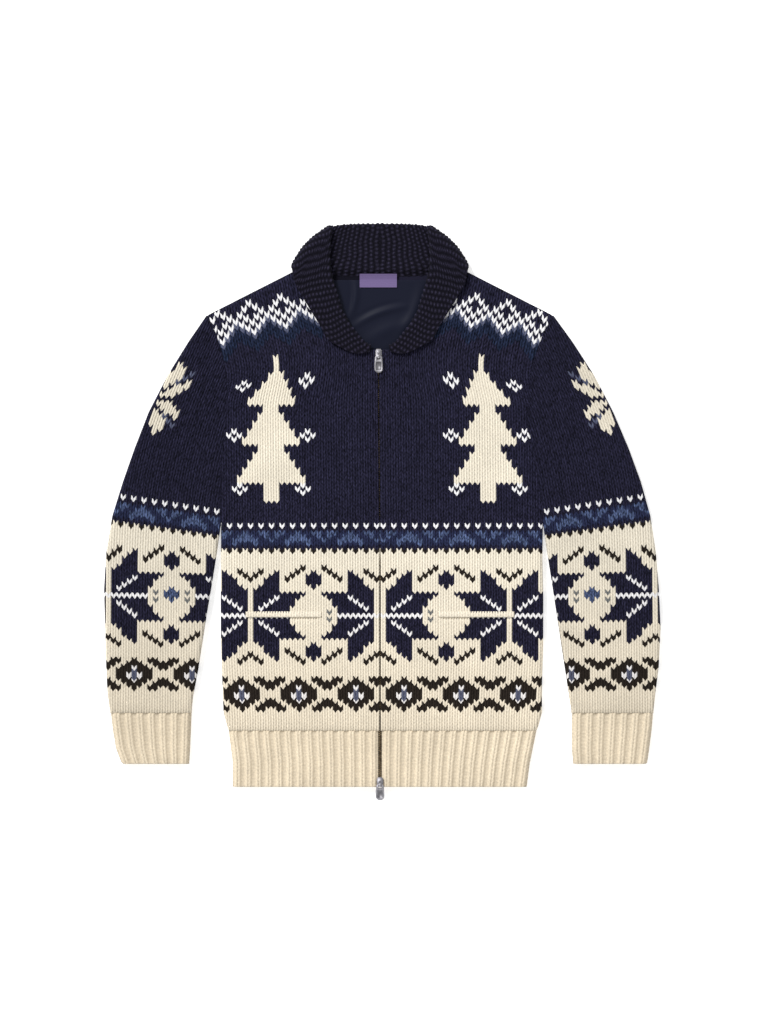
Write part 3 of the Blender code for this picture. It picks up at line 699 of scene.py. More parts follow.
def mesh_object(name: str, points: Array, faces: Faces, finish: bpy.types.Material,
                smooth: bool = True) -> bpy.types.Object:
    """Make an object at the origin from points in millimetres.

    Args:
        name: Name of the object and its mesh.
        points: A row for each point.
        faces: Point indices of each face.
        finish: Its material.
        smooth: Whether its faces are shaded smooth.

    Returns:
        The object.
    """
    mesh = bpy.data.meshes.new(name)
    mesh.from_pydata((points * MM).tolist(), [], faces)
    mesh.update()
    if smooth:
        mesh.shade_smooth()
    return add_object(name, mesh, finish)


def declare(piece: bpy.types.Object, slot: str, *nodes: str, body: str = "garment") -> None:
    """Hang a piece under the body that it moves with and hide the CAD nodes that it replaces.

    Args:
        piece: The piece.
        slot: Its material slot; not used.
        *nodes: The CAD nodes that it replaces.
        body: The body that it moves with.
    """
    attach(piece, body)
    if nodes:
        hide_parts(*nodes)


@dataclass
class Shell:
    """Points, faces, yarns and shades of one knitted wall, ready to join to others."""

    points: Array
    shades: Array
    faces: Faces
    yarns: Array
    plan_area: float


@dataclass
class StitchField:
    """A wall knitted stitch by stitch over a plan, closed underneath.

    The grid follows the V of each stitch, so that a colour change has the knitted
    edge. u counts wales and v rows; plan turns them into |x| and y. A dark stitch is
    spun thicker and covers the foot of a pale one above it.
    """

    profile: StitchProfile
    wales: tuple[int, int]
    rows: tuple[int, int]
    cells: int
    relief: float
    inside: Yarn = Yarn.CREAM
    climb: float = 0.8

    def build(self, plan: Callable[[Array, Array], Pair],
              keep: Callable[[Array, Array], Moved],
              height: Callable[[Array, Array], Array], inner: Callable[[Array], Array],
              yarns: Callable[[Array, Array], Array], side: int, facing: int = 1) -> Shell:
        """Knit the wall.

        Each strand swells by half a sine wave from row to row, and its cross-section
        comes from the profile; heights and shades are their sums and products.

        Args:
            plan: Turns u and v into |x| and y.
            keep: Moves |x| and y into the outline and says which points were inside.
            height: Height of the plain outside at |x| and y.
            inner: Level of the inside at a given outside height.
            yarns: Yarn of each stitch from wale and row.
            side: +1 or -1, the side that the wall is placed on.
            facing: +1 for an outside that faces up, -1 for one that rests.

        Returns:
            The closed shell.
        """
        form = self.profile
        wale = np.arange(*self.wales)
        u = (wale[:, None] + np.array(form.share)[None, :]).reshape(-1)
        u = np.append(u, self.wales[1])
        pick = np.append(np.tile(np.arange(len(form.share)), len(wale)), 0)
        v = np.arange(self.rows[0] * self.cells, self.rows[1] * self.cells + 1) / self.cells
        lift = (np.array(form.lift)[pick] - 0.5) * self.climb
        uu, vv = np.meshgrid(u, v)
        x, y, inside = keep(*plan(uu, vv + lift[None, :]))
        swell = np.sin(np.pi * (vv % 1.0))
        raised = np.array(form.base)[pick] + self.relief * (
            0.55 + 0.45 * swell) * np.array(form.plump)[pick]
        raised = raised + np.array(form.purl)[pick] * swell
        z = height(x, y) + facing * inside * raised
        # Painted shade and highlight: lighter on the crests, darker in the dips and where
        # rows meet.
        shade = np.array(form.shade)[pick] * (
            1.0 - (1.0 - swell) * np.array(form.pit)[pick])
        quads = grid_quads(*z.shape)
        kept = inside.reshape(-1)[quads].any(axis=1)
        tints = self._tints(u, v, yarns).reshape(-1)[kept]
        used, quads = np.unique(quads[kept], return_inverse=True)
        quads = quads.reshape(-1, 4)
        points = np.stack([x, y, z], axis=-1).reshape(-1, 3)[used]
        shell = Shell(points, shade.reshape(-1)[used], quads, tints,
                      plan_area(points, quads))
        return self._close(shell, inner, side, facing)

    def _tints(self, u: Array, v: Array, yarns: Callable[[Array, Array], Array]) -> Array:
        """Yarn of each quad.

        Args:
            u: Wales of the grid's columns.
            v: Rows of the grid's rows.
            yarns: Yarn of each stitch from wale and row.

        Returns:
            The Yarn value of each quad.
        """
        wale, row = np.meshgrid(np.floor(u[:-1] + TOUCH).astype(int),
                                np.floor(v[:-1] + TOUCH).astype(int))
        tint, below = yarns(wale, row), yarns(wale, row - 1)
        foot = (np.arange(len(v) - 1) % self.cells == 0)[:, None] & (self.cells > 1)
        return np.where(foot & (below == Yarn.DARK) & (tint <= Yarn.WHITE), below, tint)

    def _close(self, open_shell: Shell, inner: Callable[[Array], Array], side: int,
               facing: int) -> Shell:
        """Wall the open edge and lay one face over the inside.

        Args:
            open_shell: The outside, its faces as an array.
            inner: Level of the inside at a given outside height.
            side: +1 or -1, the side that the wall is placed on.
            facing: +1 for an outside that faces up, -1 for one that rests.

        Returns:
            The closed shell on its own side.
        """
        faces = open_shell.faces.tolist()
        tints, lowered = [open_shell.yarns], []
        start = len(open_shell.points)
        for loop, beside in boundary_loops(open_shell.faces):
            ring = open_shell.points[loop].copy()
            ring[:, 2] = inner(ring[:, 2])
            new = list(range(start, start + len(loop)))
            start += len(loop)
            lowered.append(ring)
            for a, b, c, d in zip(loop, loop[1:] + loop[:1], new[1:] + new[:1], new):
                faces.append([b, a, d, c])
            faces.append(new[::-1])
            tints.append(np.append(open_shell.yarns[beside], int(self.inside)))
        points = np.vstack([open_shell.points] + lowered)
        points[:, 0] *= side
        # The walls and the inside take an even painted shade.
        shades = np.append(open_shell.shades,
                           np.full(len(points) - len(open_shell.points), 0.9))
        if side * facing < 0:
            faces = [face[::-1] for face in faces]
        return Shell(points, shades, faces, np.concatenate(tints), open_shell.plan_area)


def join_shells(shells: list[Shell]) -> Shell:
    """Put several shells into one list of points and faces.

    Args:
        shells: The shells of one piece.

    Returns:
        All of them as one.
    """
    faces, start = [], 0
    for shell in shells:
        faces += [[index + start for index in face] for face in shell.faces]
        start += len(shell.points)
    return Shell(
        np.vstack([shell.points for shell in shells]),
        np.concatenate([shell.shades for shell in shells]), faces,
        np.concatenate([shell.yarns for shell in shells]),
        sum(shell.plan_area for shell in shells))


def warm_towards_hem(y: Array) -> Array:
    """Every colour grows darker and warmer towards the hem, as a factor for each channel."""
    share = np.clip((-60.0 - y) / 230.0, 0.0, 1.0)[:, None]
    return 1.0 - share * np.array([0.06, 0.095, 0.135])


def knitted_object(name: str, shell: Shell, finish: bpy.types.Material,
                   seed: int, light: float = 1.0) -> bpy.types.Object:
    """Turn a shell into an object whose yarn colours are an attribute.

    Each face takes its yarn's colour, varied a little from stitch to stitch; its
    corners carry painted shade where the strand dips and painted highlight on its crests.

    Args:
        name: Name of the object.
        shell: Its points, faces, yarns and shades.
        finish: The wool that reads the attribute.
        seed: Start of the stitch to stitch variation.
        light: Factor on every colour; on the sleeves it is painted shade.

    Returns:
        The object.
    """
    piece = mesh_object(name, shell.points, shell.faces, finish)
    looks = [YARNS[yarn] for yarn in Yarn]
    chance = np.random.default_rng(seed)
    vary = np.array([look.vary for look in looks])[shell.yarns]
    tone = light * np.clip(1.0 + vary * chance.standard_normal(len(vary)), 0.3, 2.0)
    colours = np.array([linear(look.colour)[:3] for look in looks])[shell.yarns]
    totals = read_mesh(piece.data.polygons, "loop_total", kind=int)
    point = read_mesh(piece.data.loops, "vertex_index", kind=int)
    # Painted shade in the dips and painted highlight on the crests, stronger on dark yarns.
    hollow = np.repeat(np.array([look.hollow for look in looks])[shell.yarns], totals)
    corner = np.repeat(colours * tone[:, None], totals, axis=0)
    corner = corner * (shell.shades[point] ** hollow)[:, None]
    corner = np.clip(corner * warm_towards_hem(shell.points[point, 1]), 0.0, 1.0)
    paint_corners(piece.data, "yarn", corner)
    return piece


# ------------------------------------------------------------------------- finishes


def texture_scale(size_mm: float, features: float) -> float:
    """Scale of a texture with so many features a unit that puts them size_mm apart."""
    return 1000.0 / size_mm / features


NOISE_FEATURES = 2.0       # blots of a noise texture in one unit
WAVE_FEATURES = 20.0       # threads of a wave texture in one unit


@dataclass
class Nodes:
    """The node tree of one material, with a short way to add and link nodes."""

    name: str
    material: bpy.types.Material = field(init=False)
    shader: bpy.types.Node = field(init=False)

    def __post_init__(self) -> None:
        """Start from a lone Principled BSDF."""
        self.material = bpy.data.materials.new(self.name)
        self.material.use_nodes = True
        self.shader = self.material.node_tree.nodes["Principled BSDF"]

    def add(self, kind: str, settings: dict[str, object] | None = None,
            links: dict[str | int, bpy.types.NodeSocket] | None = None) -> bpy.types.Node:
        """Add a node, set its properties and sockets, and link its inputs.

        Args:
            kind: Blender's type name of the node.
            settings: Property or input names with their values.
            links: Input names or numbers with the output sockets that feed them.

        Returns:
            The new node.
        """
        node = self.material.node_tree.nodes.new(kind)
        for key, value in (settings or {}).items():
            if hasattr(node, key):
                setattr(node, key, value)
            else:
                node.inputs[key].default_value = value
        for key, socket in (links or {}).items():
            self.material.node_tree.links.new(socket, node.inputs[key])
        return node

    def link(self, key: str, socket: bpy.types.NodeSocket) -> None:
        """Feed one of the shader's inputs."""
        self.material.node_tree.links.new(socket, self.shader.inputs[key])

    def set(self, **values: float | tuple[float, ...]) -> None:
        """Set the shader's own sockets; an underscore stands for a space."""
        for key, value in values.items():
            self.shader.inputs[key.replace("_", " ")].default_value = value


@dataclass(frozen=True)
class WoolFinish:
    """Woollen spun lambswool, machine knitted.

    Its short loose fibres stand off the yarn, so it looks matt and a little mottled,
    with no gloss. Real fibres are 0.02 mm thick: the grain is as coarse as it needs
    to be to show.
    """

    name: str
    fibre_mm: float = 0.9
    blotch_mm: float = 26.0
    hair: float = 0.35
    hair_mm: float = 0.6

    def build(self) -> bpy.types.Material:
        """Mottle the mesh's yarn colours by fibres and raise them as a bump.

        Returns:
            The material.
        """
        nodes = Nodes(self.name)
        yarn = nodes.add("ShaderNodeAttribute", {"attribute_name": "yarn"})
        place = nodes.add("ShaderNodeTexCoord").outputs["Object"]
        fibre = nodes.add(
            "ShaderNodeTexNoise",
            {"Scale": texture_scale(self.fibre_mm, NOISE_FEATURES), "Detail": 3.0,
             "Roughness": 0.7}, {"Vector": place})
        blotch = nodes.add(
            "ShaderNodeTexNoise",
            {"Scale": texture_scale(self.blotch_mm, NOISE_FEATURES), "Detail": 2.0},
            {"Vector": place})
        fibre_tone = nodes.add(
            "ShaderNodeMapRange",
            {"From Min": 0.25, "From Max": 0.75, "To Min": 0.82, "To Max": 1.18},
            {"Value": fibre.outputs["Fac"]})
        blotch_tone = nodes.add(
            "ShaderNodeMapRange",
            {"From Min": 0.3, "From Max": 0.7, "To Min": 0.95, "To Max": 1.04},
            {"Value": blotch.outputs["Fac"]})
        tone = nodes.add("ShaderNodeMath", {"operation": "MULTIPLY"},
                         {0: fibre_tone.outputs["Result"], 1: blotch_tone.outputs["Result"]})
        shade = nodes.add("ShaderNodeVectorMath", {"operation": "SCALE"},
                          {0: yarn.outputs["Color"], "Scale": tone.outputs["Value"]})
        bump = nodes.add("ShaderNodeBump",
                         {"Strength": self.hair, "Distance": self.hair_mm * MM},
                         {"Height": fibre.outputs["Fac"]})
        nodes.link("Base Color", shade.outputs["Vector"])
        nodes.link("Normal", bump.outputs["Normal"])
        nodes.set(Roughness=0.95, Sheen_Weight=0.02, Sheen_Roughness=0.6,
                  Specular_IOR_Level=0.06)
        return nodes.material


@dataclass(frozen=True)
class ClothFinish:
    """A woven cloth of one dyed colour: polyester satin, ribbon or zip tape.

    Its threads cross at right angles, which gives a fine even grain, smooth on satin
    and dull on tape. thread_mm is drawn at two to three times the real spacing.
    """

    name: str
    colour: str
    roughness: float
    thread_mm: float
    bump: float
    sheen: float = 0.0
    mottle: float = 0.12
    specular: float = 0.3
    bump_mm: float = 0.3

    def build(self) -> bpy.types.Material:
        """Mottle one colour by its threads and raise them as a bump.

        Returns:
            The material.
        """
        nodes = Nodes(self.name)
        place = nodes.add("ShaderNodeTexCoord").outputs["Object"]
        grain = nodes.add(
            "ShaderNodeTexNoise",
            {"Scale": texture_scale(self.thread_mm, NOISE_FEATURES), "Detail": 2.0},
            {"Vector": place})
        warp, weft = (nodes.add(
            "ShaderNodeTexWave",
            {"Scale": texture_scale(self.thread_mm, WAVE_FEATURES), "Distortion": 0.4,
             "bands_direction": axis}, {"Vector": place}) for axis in "XY")
        weave = nodes.add("ShaderNodeMath", {"operation": "MAXIMUM"},
                          {0: warp.outputs["Fac"], 1: weft.outputs["Fac"]})
        tone = nodes.add(
            "ShaderNodeMapRange",
            {"From Min": 0.3, "From Max": 0.7, "To Min": 1.0 - self.mottle,
             "To Max": 1.0 + self.mottle}, {"Value": grain.outputs["Fac"]})
        colour = nodes.add("ShaderNodeRGB").outputs["Color"]
        colour.default_value = linear(self.colour)
        shade = nodes.add("ShaderNodeVectorMath", {"operation": "SCALE"},
                          {0: colour, "Scale": tone.outputs["Result"]})
        bump = nodes.add("ShaderNodeBump",
                         {"Strength": self.bump, "Distance": self.bump_mm * MM},
                         {"Height": weave.outputs["Value"]})
        nodes.link("Base Color", shade.outputs["Vector"])
        nodes.link("Normal", bump.outputs["Normal"])
        nodes.set(Roughness=self.roughness, Sheen_Weight=self.sheen,
                  Specular_IOR_Level=self.specular)
        return nodes.material


@dataclass(frozen=True)
class MetalFinish:
    """Aged metal, such as cast zinc with a nickel plate or stamped brass.

    Its plate has tarnished in clouds and in the hollows, so it looks soft grey or
    gold-brown, brighter where hands rub it. hollow is the tone left in the hollows.
    """

    name: str
    light: str
    dark: str
    roughness: float
    hollow: float = 0.6
    cloud_mm: float = 1.923

    def build(self) -> bpy.types.Material:
        """Mix two tones by a cloudy tarnish and darken what the mesh marks as hollow.

        Returns:
            The material.
        """
        nodes = Nodes(self.name)
        place = nodes.add("ShaderNodeTexCoord").outputs["Object"]
        tarnish = nodes.add(
            "ShaderNodeTexNoise",
            {"Scale": texture_scale(self.cloud_mm, NOISE_FEATURES), "Detail": 4.0},
            {"Vector": place}).outputs["Fac"]
        ramp = nodes.add("ShaderNodeValToRGB", links={"Fac": tarnish})
        stops = ((0.38, self.dark), (0.62, self.light))
        for element, (position, tone) in zip(ramp.color_ramp.elements, stops):
            element.position, element.color = position, linear(tone)
        hollow = nodes.add("ShaderNodeAttribute", {"attribute_name": "tarnish"})
        kept = nodes.add("ShaderNodeMapRange", {"To Min": 1.0, "To Max": self.hollow},
                         {"Value": hollow.outputs["Fac"]})
        shade = nodes.add("ShaderNodeVectorMath", {"operation": "SCALE"},
                          {0: ramp.outputs["Color"], "Scale": kept.outputs["Result"]})
        rough = nodes.add(
            "ShaderNodeMapRange",
            {"To Min": self.roughness + 0.15, "To Max": self.roughness - 0.08},
            {"Value": tarnish})
        nodes.link("Base Color", shade.outputs["Vector"])
        nodes.link("Roughness", rough.outputs["Result"])
        nodes.set(Metallic=1.0)
        return nodes.material


@dataclass
class Wardrobe:
    """Every finish on the garment, built once."""

    wool: bpy.types.Material = field(init=False)
    satin: bpy.types.Material = field(init=False)
    label: bpy.types.Material = field(init=False)
    tape: bpy.types.Material = field(init=False)
    nickel: bpy.types.Material = field(init=False)
    teeth: bpy.types.Material = field(init=False)

    def __post_init__(self) -> None:
        """Build the materials."""
        # Lambswool: matt, hairy, mottled from stitch to stitch
        self.wool = WoolFinish("lambswool_knit").build()
        # Polyester satin: smooth, with a low dark sheen along its folds
        self.satin = ClothFinish(
            "satin_lining", "#161929", 0.46, 0.35, 0.03, mottle=0.04, specular=0.1).build()
        # Woven polyester ribbon: flat violet with a fine grain
        self.label = ClothFinish(
            "woven_label", "#74658F", 0.7, 0.45, 0.3, mottle=0.08, specular=0.1).build()
        # Twill tape: dull navy behind the teeth
        self.tape = ClothFinish("zip_tape", "#201F2C", 0.85, 0.8, 0.4, mottle=0.1).build()
        # Cast zinc, nickel plated and aged: soft grey with darker hollows
        self.nickel = MetalFinish("antique_nickel", "#C2C0C5", "#AEACB2", 0.55).build()
        # Stamped brass, aged: dull gold-brown
        self.teeth = MetalFinish("antique_brass_teeth", "#AA977A", "#655846", 0.6).build()


# --------------------------------------------------------------------------- pieces


@dataclass
class BodyShape:
    """Plan and height of the body's edges, shared by the fronts and the back."""

    side: int
    outline: Outline = field(init=False)
    fold: Array = field(init=False)
    shoulder: Array = field(init=False)

    def __post_init__(self) -> None:
        """Read the outline and lay the folded edges along it."""
        self.outline = Outline("front_" + side_name(self.side))
        levels = np.linspace(HEM_SEAM, ARMPIT_Y, 40)
        self.fold = np.column_stack([self.outline.outer(levels), levels])
        self.shoulder = np.array([SHOULDER, NECK_POINT])

    def rise(self, x: Array, y: Array) -> Array:
        """How far the rounded edge has risen at each point, from 0 to 1."""
        return fold_rise(np.minimum(path_distance(self.fold, x, y),
                                    path_distance(self.shoulder, x, y)))


FRONT_CREASES = (
    Crease(205.0, -20.0, 120.0, 40.0, 16.0, -1.3),
    Crease(210.0, 20.0, 150.0, 90.0, 13.0, 1.1),
    Crease(200.0, 120.0, 150.0, 40.0, 20.0, -0.9),
    Crease(60.0, -60.0, 40.0, 130.0, 26.0, 0.9),
    Crease(16.0, -250.0, 8.0, 120.0, 9.0, -0.8),
    Crease(150.0, -285.0, 140.0, -215.0, 14.0, 0.9),
    Crease(95.0, -288.0, 104.0, -228.0, 12.0, -0.8),
    Crease(48.0, -285.0, 55.0, -240.0, 10.0, 0.7),
    Crease(196.0, -270.0, 188.0, -180.0, 14.0, -1.0),
    Crease(90.0, 215.0, 165.0, 250.0, 16.0, -0.8),
)

# Row number and the level of its middle: rows open out towards the shoulder.
BODY_ROWS = np.array([[-34.0, -311.5], [26.0, -15.7], [38.0, 44.9], [50.0, 108.4],
                      [62.0, 174.6], [75.0, 249.8], [100.0, 411.0]])


def body_level(v: Array) -> Array:
    """y of a place v rows up the body."""
    return np.interp(v - 0.5, BODY_ROWS[:, 0], BODY_ROWS[:, 1])


@dataclass
class Front:
    """One front: a stitch-by-stitch wall with its pocket slit and soft creases."""

    side: int
    wardrobe: Wardrobe
    chart: Chart = Chart()
    relief: float = 1.3
    cells: int = 2
    flat: tuple[float, float] = (0.237, 0.632)
    gather: float = 0.022
    yoke_middle: tuple[float, float] = (150.0, 250.0)
    yoke_turn: float = 0.2
    yoke_level: float = 140.0
    yoke_blend: float = 80.0
    shoulder_droop: float = 9.0
    pocket: tuple[float, float, float] = (82.0, 184.0, -147.2)   # both ends and level
    slit_width: float = 1.3
    slit_depth: float = 1.8
    slit_end: float = 6.0
    fullness: float = 1.0
    seam_dip: float = 0.9
    shape: BodyShape = field(init=False)

    def __post_init__(self) -> None:
        """Read the front's edges."""
        self.shape = BodyShape(self.side)

    def plan(self, u: Array, v: Array) -> Pair:
        """Turn wales and rows into place.

        Wales run straight up and close in a little at the hem. In the yoke the rows
        climb to the neck and the wales lean out, turned about the yoke's middle.

        Args:
            u: Wales from the zip.
            v: Rows from the middle of the stars.

        Returns:
            |x| and y.
        """
        y = body_level(v)
        width = STITCH_WIDTH * (1.0 - self.gather * np.clip((-205.0 - y) / 80.0, 0.0, 1.0))
        x = ZIP_GAP_BODY + self.side * zip_line(y) + u * width
        climb = ease((y - self.yoke_level) / self.yoke_blend)
        turn = self.yoke_turn * climb * ease((x - 10.0) / 80.0)
        droop = self.shoulder_droop * ease((x - 175.0) / 70.0) * climb
        middle_x, middle_y = self.yoke_middle
        return x + turn * (y - middle_y), y - turn * (x - middle_x) - droop

    def keep(self, x: Array, y: Array) -> Moved:
        """Clamp to the zip, the side or armhole, the hem seam and the top edge.

        Args:
            x: |x| of each point.
            y: y of each point.

        Returns:
            The clamped points and which were inside.
        """
        gap = ZIP_GAP_BODY * (1.0 - ZIP_SHUT_SHARE * zip_shut(y))
        new_y = np.maximum(y, HEM_SEAM)
        new_x = np.clip(x, gap + self.side * zip_line(y), self.shape.outline.outer(new_y))
        return moved(x, y, new_x, np.minimum(new_y, self.shape.outline.top(new_x)))

    def height(self, x: Array, y: Array) -> Array:
        """Outside of the front: pressed flat, full over the hem, folded at the edges.

        Args:
            x: |x| of each point.
            y: y of each point.

        Returns:
            z of each point, before its stitches.
        """
        full = BODY_HEIGHT + self.fullness * bell(y, -285.0, 16.0)
        full = full - self.seam_dip * bell(y, HEM_SEAM, SEAM_REACH)
        full = creased(full, FRONT_CREASES, x, y)
        near, far, level = self.pocket
        ends = np.clip((x - near) / self.slit_end, 0, 1)
        ends = ends * np.clip((far - x) / self.slit_end, 0, 1)
        full = full - self.slit_depth * bell(y, level, self.slit_width) * ends
        return FOLD_LEVEL + self.shape.rise(x, y) * (full - FOLD_LEVEL)

    def make(self) -> bpy.types.Object:
        """Knit the front and replace its solid.

        Returns:
            The finished piece.
        """
        shell = StitchField(STOCKING, (-1, 36), (-34, 101), self.cells, self.relief).build(
            self.plan, self.keep, self.height, upper_inside, self.chart.yarns, self.side)
        name = "front_" + side_name(self.side)
        piece = knitted_object(name + "_knit", shell, self.wardrobe.wool, 11 + self.side)
        declare(piece, "pattern_knit", name)
        return piece


@dataclass
class Welt:
    """The cream welt over a pocket's mouth, its lower edge standing a little proud."""

    side: int
    wardrobe: Wardrobe
    relief: float = 0.35
    rows: int = 2
    low: Vector = field(init=False)
    high: Vector = field(init=False)
    near: float = field(init=False)
    far: float = field(init=False)
    wales: int = field(init=False)

    def __post_init__(self) -> None:
        """Measure the solid that it lies on."""
        self.low, self.high = (Vector(corner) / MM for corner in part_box(self.node()))
        self.near, self.far = sorted((abs(self.low.x), abs(self.high.x)))
        self.wales = int(round((self.far - self.near) / STITCH_WIDTH))

    def node(self) -> str:
        """Name of its CAD node."""
        return "pocket_welt_" + side_name(self.side)

    def plan(self, u: Array, v: Array) -> Pair:
        """Turn wales and rows into place, the same width from end to end."""
        return (self.near + (self.far - self.near) * u / self.wales,
                self.low.y + (self.high.y - self.low.y) * v / self.rows)

    def keep(self, x: Array, y: Array) -> Moved:
        """Clamp to the strip; its very ends count as inside only where they are exact."""
        new_x = np.clip(x, self.near, self.far)
        new_y = np.clip(y, self.low.y, self.high.y)
        return new_x, new_y, (new_x == x) & (np.abs(new_y - y) < TOUCH)

    def height(self, x: Array, y: Array) -> Array:
        """Rounded at the lower edge, flush with the front at the upper one."""
        share = (y - self.low.y) / (self.high.y - self.low.y)
        return self.high.z - 0.9 * share ** 2 - 0.5 * bell(y, self.low.y, 0.8)

    def make(self) -> bpy.types.Object:
        """Knit the strip over its solid's outline.

        Returns:
            The finished piece.
        """
        field_of_knit = StitchField(
            STOCKING, (0, self.wales), (-1, self.rows + 1), 2, self.relief)
        shell = field_of_knit.build(
            self.plan, self.keep, self.height, lambda z: np.full(z.shape, self.low.z),
            lambda wale, row: np.full(wale.shape, int(Yarn.CREAM)), self.side)
        piece = knitted_object(
            self.node() + "_knit", shell, self.wardrobe.wool, 41 + self.side)
        declare(piece, "pattern_knit", self.node())
        return piece


@dataclass
class BackHalf:
    """One half of the back, resting on its patterned outside."""

    side: int
    chart: Chart
    neck: Outline
    collar_reach: float = 105.0
    shape: BodyShape = field(init=False)

    def __post_init__(self) -> None:
        """Read the half's edges."""
        self.shape = BodyShape(self.side)

    def plan(self, u: Array, v: Array) -> Pair:
        """Wales from the middle of the back."""
        return u * STITCH_WIDTH, body_level(v)

    def keep(self, x: Array, y: Array) -> Moved:
        """Clamp to the side or armhole, the hem seam and the neck.

        Args:
            x: |x| of each point.
            y: y of each point.

        Returns:
            The clamped points and which were inside.
        """
        new_y = np.maximum(y, HEM_SEAM)
        new_x = np.clip(x, 0.0, self.shape.outline.outer(new_y))
        under = SEAM_CLOSE * np.clip((self.collar_reach - new_x) / 10.0, 0.0, 1.0)
        return moved(x, y, new_x, np.minimum(new_y, self.neck.top(new_x) + under))

    def height(self, x: Array, y: Array) -> Array:
        """Flat on the surface, rounded up at its edges."""
        return FOLD_LEVEL * (1.0 - self.shape.rise(x, y))

    def knit(self) -> Shell:
        """Knit the half as one plain wall."""
        return StitchField(PLAIN, (0, 34), (-34, 99), 1, 0.0, inside=Yarn.NAVY).build(
            self.plan, self.keep, self.height, lower_inside, self.chart.yarns, self.side,
            facing=-1)


@dataclass
class Back:
    """The back, both halves in one piece."""

    wardrobe: Wardrobe
    chart: Chart = Chart()
    flat: tuple[float, float] = (0.474, 0.632)

    def make(self) -> bpy.types.Object:
        """Knit both halves and join them.

        Returns:
            The finished piece.
        """
        neck = Outline("back")
        shell = join_shells([BackHalf(side, self.chart, neck).knit() for side in (-1, 1)])
        piece = knitted_object("back_knit", shell, self.wardrobe.wool, 5)
        declare(piece, "pattern_knit", "back")
        return piece


SLEEVE_CREASES = (
    Crease(232.0, -10.0, 285.0, 30.0, 13.0, -1.5),
    Crease(236.0, -45.0, 300.0, -25.0, 12.0, 1.2),
    Crease(240.0, 60.0, 300.0, 95.0, 18.0, -1.1),
    Crease(350.0, 20.0, 300.0, 60.0, 16.0, 0.9),
    Crease(372.0, -120.0, 320.0, -90.0, 16.0, -0.9),
    Crease(250.0, -150.0, 300.0, -170.0, 14.0, 0.9),
    Crease(280.0, -262.0, 290.0, -190.0, 11.0, -0.9),
    Crease(340.0, -262.0, 345.0, -200.0, 12.0, 0.9),
    Crease(255.0, 200.0, 300.0, 140.0, 18.0, 0.9),
)


# Row number and its middle's distance along the sleeve from the cuff's seam.
SLEEVE_ROWS = np.array([[-37.0, -19.0], [-33.0, 0.0], [-22.0, 52.5], [-10.0, 107.0],
                        [0.0, 160.5], [10.0, 208.8], [18.0, 251.5], [25.0, 287.5],
                        [35.0, 343.0], [45.0, 402.0], [70.0, 560.0], [86.0, 665.0]])
# Distance along the sleeve, the lean of the wales and the slope of the rows in degrees.
SLEEVE_LEAN = np.array([[0.0, 0.3], [200.0, 0.5], [250.0, 3.0], [290.0, 8.0],
                        [350.0, 14.0], [430.0, 22.0], [640.0, 26.0]])
SLEEVE_SLANT = np.array([[0.0, 0.5], [160.0, 1.0], [200.0, 1.5], [245.0, 7.0],
                         [265.0, 9.0], [330.0, 8.5], [430.0, 3.0], [640.0, 2.0]])


@dataclass
class SleeveShape:
    """Plan of a sleeve: its edges, and the curved line that its middle wale follows."""

    side: int
    step: float = 5.0
    before: float = 10.0
    reach: float = 680.0
    outline: Outline = field(init=False)
    outer_fold: Array = field(init=False)
    inner_fold: Array = field(init=False)

    def __post_init__(self) -> None:
        """Read the outline and lay the two folded edges along it."""
        self.outline = Outline("sleeve_" + side_name(self.side))
        levels = np.linspace(CUFF_SEAM, SHOULDER[1] - 1.0, 60)
        above = np.maximum(levels, CUFF_SEAM + SEAM_SLACK)
        self.outer_fold = np.column_stack([self.outline.outer(above), levels])
        arm = levels < ARMPIT_Y
        self.inner_fold = np.column_stack([self.outline.inner(above[arm]), levels[arm]])

    def plan(self, u: Array, v: Array) -> Pair:
        """Turn wales and rows into place.

        The middle wale climbs from the cuff and leans in more and more towards the
        shoulder; the rows slope down towards the body, most at the elbow.

        Args:
            u: Wales from the middle of the sleeve, towards the body.
            v: Rows from the middle of the stars.

        Returns:
            |x| and y.
        """
        climb = np.interp(v - 0.5, SLEEVE_ROWS[:, 0], SLEEVE_ROWS[:, 1])
        table = np.arange(-self.before, self.reach, self.step)
        lean = np.radians(np.interp(table, SLEEVE_LEAN[:, 0], SLEEVE_LEAN[:, 1]))
        sway = np.concatenate([[0.0], np.cumsum(np.sin(lean[:-1]) * self.step)])
        height = np.concatenate([[0.0], np.cumsum(np.cos(lean[:-1]) * self.step)])
        slant = np.radians(np.interp(climb, SLEEVE_SLANT[:, 0], SLEEVE_SLANT[:, 1]))
        foot_x = 0.5 * (self.outline.inner(CUFF_SEAM) + self.outline.outer(CUFF_SEAM))
        centre_x = foot_x - np.interp(climb, table, sway)
        centre_y = CUFF_SEAM + np.interp(climb, table, height - self.before)
        return (centre_x - u * STITCH_WIDTH * np.cos(slant),
                centre_y - u * STITCH_WIDTH * np.sin(slant))

    def keep(self, x: Array, y: Array) -> Moved:
        """Clamp to the two edges, the armhole and the cuff seam.

        Args:
            x: |x| of each point.
            y: y of each point.

        Returns:
            The clamped points and which were inside.
        """
        new_y = np.clip(y, CUFF_SEAM, SHOULDER[1] - 0.5)
        level = np.maximum(new_y, CUFF_SEAM + SEAM_SLACK)
        inner = self.outline.inner(level) - ARMHOLE_CLOSE * (new_y > ARMPIT_Y)
        return moved(x, y, np.clip(x, inner, self.outline.outer(level)), new_y)

    def rise(self, x: Array, y: Array) -> Array:
        """How far the rounded edges have risen, from 0 to 1."""
        return fold_rise(np.minimum(path_distance(self.outer_fold, x, y),
                                    path_distance(self.inner_fold, x, y)))


